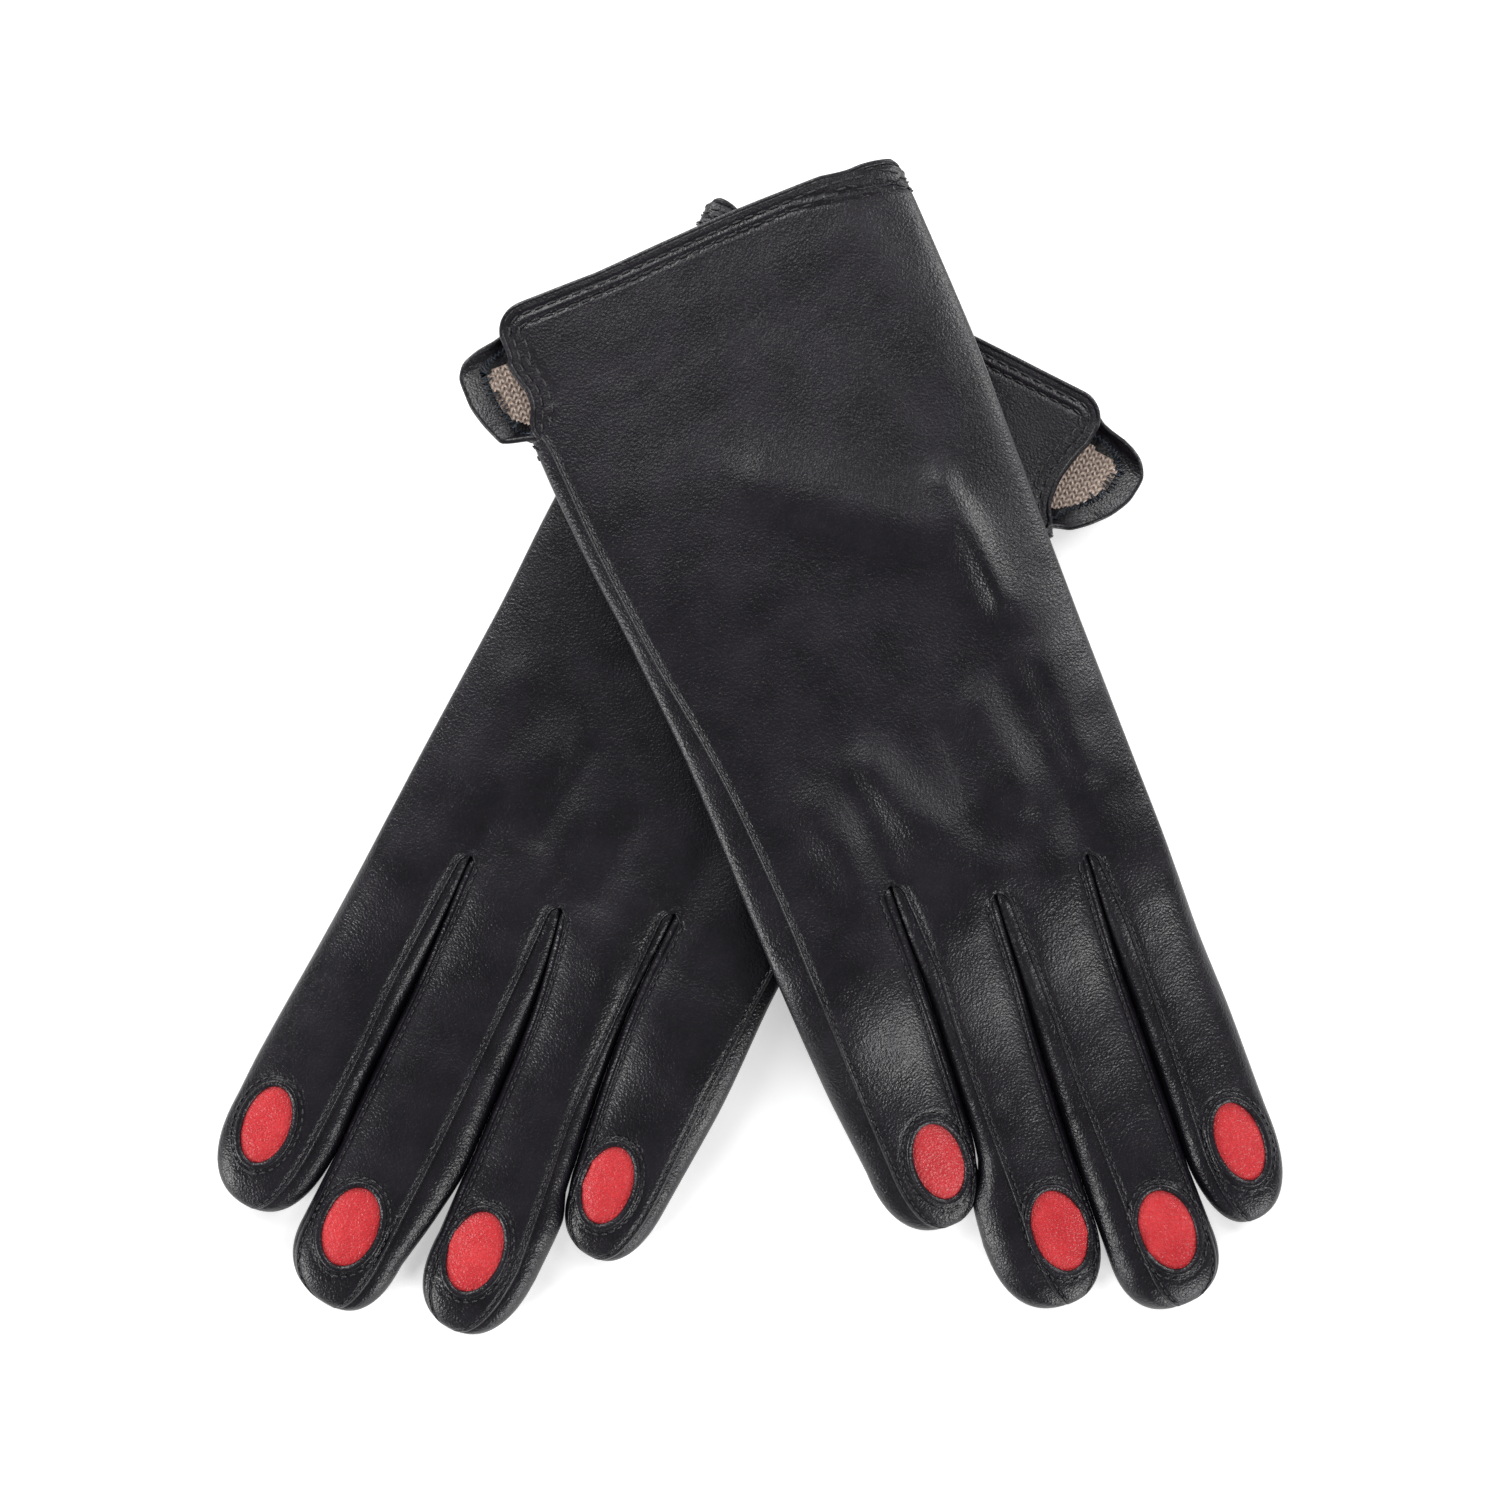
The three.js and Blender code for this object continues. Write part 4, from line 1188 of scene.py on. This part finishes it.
def thumb_outline(along):
    """Half-width, and how far the fingertip has closed, at a distance along the thumb."""
    heel = np.sqrt(np.clip(THUMB["disc"] ** 2 - np.minimum(along, 0) ** 2, 0, None))
    body = lerp(THUMB["disc"], THUMB["half"], smooth(along / 22))
    body = lerp(body, THUMB["tip"], smooth((along - 22) / 34))
    into = np.clip((along - THUMB["length"]) / THUMB["round"] + 1, 0, 1)
    close = (1 - into**2.3) ** (1 / 2.3)
    return np.where(along < 0, heel, body * close), np.where(along < 0, heel / THUMB["disc"], close)


def thumb_section(glove, along, turn, grow=0):
    """The thumb's rounded sections: its leather, or with grow under 0 what lies inside it."""
    wide, close = thumb_outline(along)
    half = (THUMB["thick"] / 2 * lerp(0.25, 1, close))[:, None]
    low = 0.25 + THUMB["thick"] / 2 - half - grow
    shape = (0, np.maximum(wide + grow, 0.02)[:, None], low, half + grow)
    x, height = on_section(shape, FINGER_ROUND, turn)
    y = along[:, None] + 0 * x
    if grow == 0:
        wrinkle = 0.16 * rough(x + 40, y, 4.4, 9) + 0.08 * rough(x, y * 0.5, 7, 3)
        height = height + wrinkle * np.sin(turn) * close[:, None]
    return thumb_place(glove, x, y, height)


def thumb_neck(glove):
    """The short neck from the thumb up to the edge of the palm's thumb hole."""
    height = np.array([ARCH + 0.25, ARCH - 0.1, ARCH - 0.7, ARCH - 1.5, 4.9, 3.4])[:, None]
    radius = (THUMB["disc"] + np.array([-0.75, -0.1, 0.15, 0.1, -0.2, -0.6]))[:, None]
    turn = circle(97)[None]
    return thumb_place(glove, radius * np.cos(turn), radius * np.sin(turn), height + 0 * turn)


def thumb_stitches(glove, tree):
    """Stitches along both sides of the thumb, and round its neck."""
    seam = np.linspace(2, THUMB["length"] - 5, 120)
    wide, close = thumb_outline(seam)
    paths = [thumb_place(glove, side * (wide - 1.9 * close), seam, 0 * seam - 2) for side in (-1, 1)]
    turn, radius = np.linspace(0, 2 * math.pi, 80), THUMB["disc"] + 0.3
    around = thumb_place(glove, radius * np.cos(turn), radius * np.sin(turn), 0 * turn + ARCH - 1)
    return [stitches(path, tree) for path in paths] + [stitches(around, tree, pitch=2.2)]


def thumb_nail(glove):
    """The red patch on the thumb's underside, and the edge round it."""
    middle = THUMB["length"] - 16
    share, turn = np.linspace(0, 1.06, 10)[:, None], circle(61)[None]
    rise = 0.16 - 0.1 * (1 - share**2) + 0 * turn
    patch = thumb_place(glove, 6 * share * np.cos(turn), middle + 8.6 * share * np.sin(turn), rise)
    turn = circle(73)[:-1]
    rim = thumb_place(glove, 6.5 * np.cos(turn), middle + 9.1 * np.sin(turn), 0 * turn + 0.22)
    return grid_patch(patch), tube(rim, rim * 0 - UP, RIM, 0.2, 10, closed=True)


def thumb_pieces(glove):
    """A flattened pocket under the palm, sewn round the thumb hole, with its nail window below."""
    heel = np.sin(np.linspace(-math.pi / 2, 0, 14)) * THUMB["disc"]
    straight = THUMB["length"] - THUMB["round"]
    tip = straight + THUMB["round"] * np.sin(np.linspace(0, math.pi / 2, 22))
    along = np.array([*heel, *np.arange(1, straight, 1.1), *tip])
    turn = circle(97)[None]
    outer = [grid_patch(thumb_section(glove, along, turn)), grid_patch(thumb_neck(glove), flip=True)]
    patch, rim = thumb_nail(glove)
    inner = grid_patch(thumb_section(glove, along[2:-4], turn[:, ::3], -1.5))
    return [
        mesh_piece(glove, "thumb_leather", outer, BLACK, "thumb"),
        mesh_piece(glove, "thumb_stitches", thumb_stitches(glove, tree_of(outer)), THREAD),
        mesh_piece(glove, "thumb_nail_patch", [patch], RED, "thumb_nail", slot="red_leather"),
        mesh_piece(glove, "thumb_nail_edge", [rim], BLACK),
        knit_piece(glove, "thumb_lining", inner),
    ]


# ---- the hand


def hand_pieces(glove):
    """The hand's patches, the leather of its back and its palm, and the stitches of the closing seam."""
    back, palm = [], []
    for finger in FINGERS:
        v = rows(glove, finger, CUFF_ROW, HINGE_V[finger])
        back.append(grid_patch(back_grid(glove, finger, v)))
        palm.append(grid_patch(palm_grid(glove, finger, v), flip=True))
    back.append(grid_patch(fold_grid(glove, rows(glove, "index", CUFF_ROW, HINGE_V["index"]))))
    palm.append(grid_patch(wrap_grid(glove, rows(glove, "little", CUFF_ROW, HINGE_V["little"])), flip=True))
    leathers = [
        mesh_piece(glove, "back_leather", back, BLACK, "back"),
        mesh_piece(glove, "palm_leather", palm, BLACK, "palm"),
    ]
    closing = seam_path(glove, "little", "seam_out", np.linspace(VENT + 2, HINGE_V["little"], 120))
    thread = mesh_piece(glove, "hand_closing_stitches", [stitches(closing, tree_of(back))], THREAD)
    return back + palm, leathers, thread


for glove in GLOVES:
    patches, leathers, closing = hand_pieces(glove)
    bending = {}
    shared = list(leathers)
    for finger in FINGERS:
        bending[finger], near = finger_pieces(glove, finger, patches)
        shared += near
    share_normals(shared)
    for piece in [*leathers, closing, *cuff_pieces(glove, tree_of(patches))]:
        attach(piece, f"{glove}_hand")
    for piece in thumb_pieces(glove):
        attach(piece, f"{glove}_thumb")
    for finger, pieces in bending.items():
        for piece in pieces:
            bend(piece, glove, finger)

# ---- the setting, in metres

CAMERA_HEIGHT = 0.794
CAMERA_TO_CUFFS = 0.0009  # how far the camera stands past the middle of the gloves
FLOOR_GAP = 0.0002
ROOM_LIGHT = 0.19
LIGHTS = {  # each lamp's place, size and power
    "top_left": ((-0.75, 1.25, 0.62), 0.7, 20),
    "top_right": ((1.15, 0.95, 0.62), 0.7, 17),
    "low_left": ((-1.3, -0.7, 0.6), 0.6, 17),
    "low_right": ((0.9, -1.25, 0.55), 0.6, 14),
    "high_left": ((-0.28, 0.6, 1), 0.3, 1.8),
    "high_right": ((0.6, 0.35, 1), 0.3, 1.6),
}


def pale_floor():
    bpy.ops.mesh.primitive_plane_add(size=8, location=(0, 0, -FLOOR_GAP))
    floor = bpy.context.object
    floor.name = "floor"
    look = Look("pale_floor", (0.95, 0.95, 0.95), 0.9, Emission_Color=(1, 1, 1, 1), Emission_Strength=0.45)
    floor.data.materials.append(look.material)
    floor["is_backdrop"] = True


def pale_room():
    room = bpy.data.worlds.new("pale_room")
    room.use_nodes = True
    background = room.node_tree.nodes["Background"].inputs
    background["Color"].default_value = (1, 1, 1, 1)
    background["Strength"].default_value = ROOM_LIGHT
    bpy.context.scene.world = room
    bpy.context.scene.view_settings.view_transform = "Standard"


def soft_light(name, place, size, power):
    """A square lamp that faces the gloves."""
    light = bpy.data.lights.new(name, "AREA")
    light.shape = "SQUARE"
    light.size = size
    light.energy = power
    made = bpy.data.objects.new(name, light)
    made.location = place
    made.rotation_euler = (-made.location).to_track_quat("-Z", "Y").to_euler()
    bpy.context.scene.collection.objects.link(made)


def camera_above():
    """A camera that looks straight down."""
    camera = bpy.data.cameras.new("camera")
    camera.lens = 85
    camera.sensor_width = 36
    eye = bpy.data.objects.new("camera", camera)
    low, high = (np.array(corner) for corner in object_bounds())
    middle = (low + high) / 2
    eye.location = (middle[0], middle[1] + CAMERA_TO_CUFFS, CAMERA_HEIGHT)
    bpy.context.scene.collection.objects.link(eye)
    bpy.context.scene.camera = eye


pale_floor()
pale_room()
for name, settings in LIGHTS.items():
    soft_light(name, *settings)
camera_above()
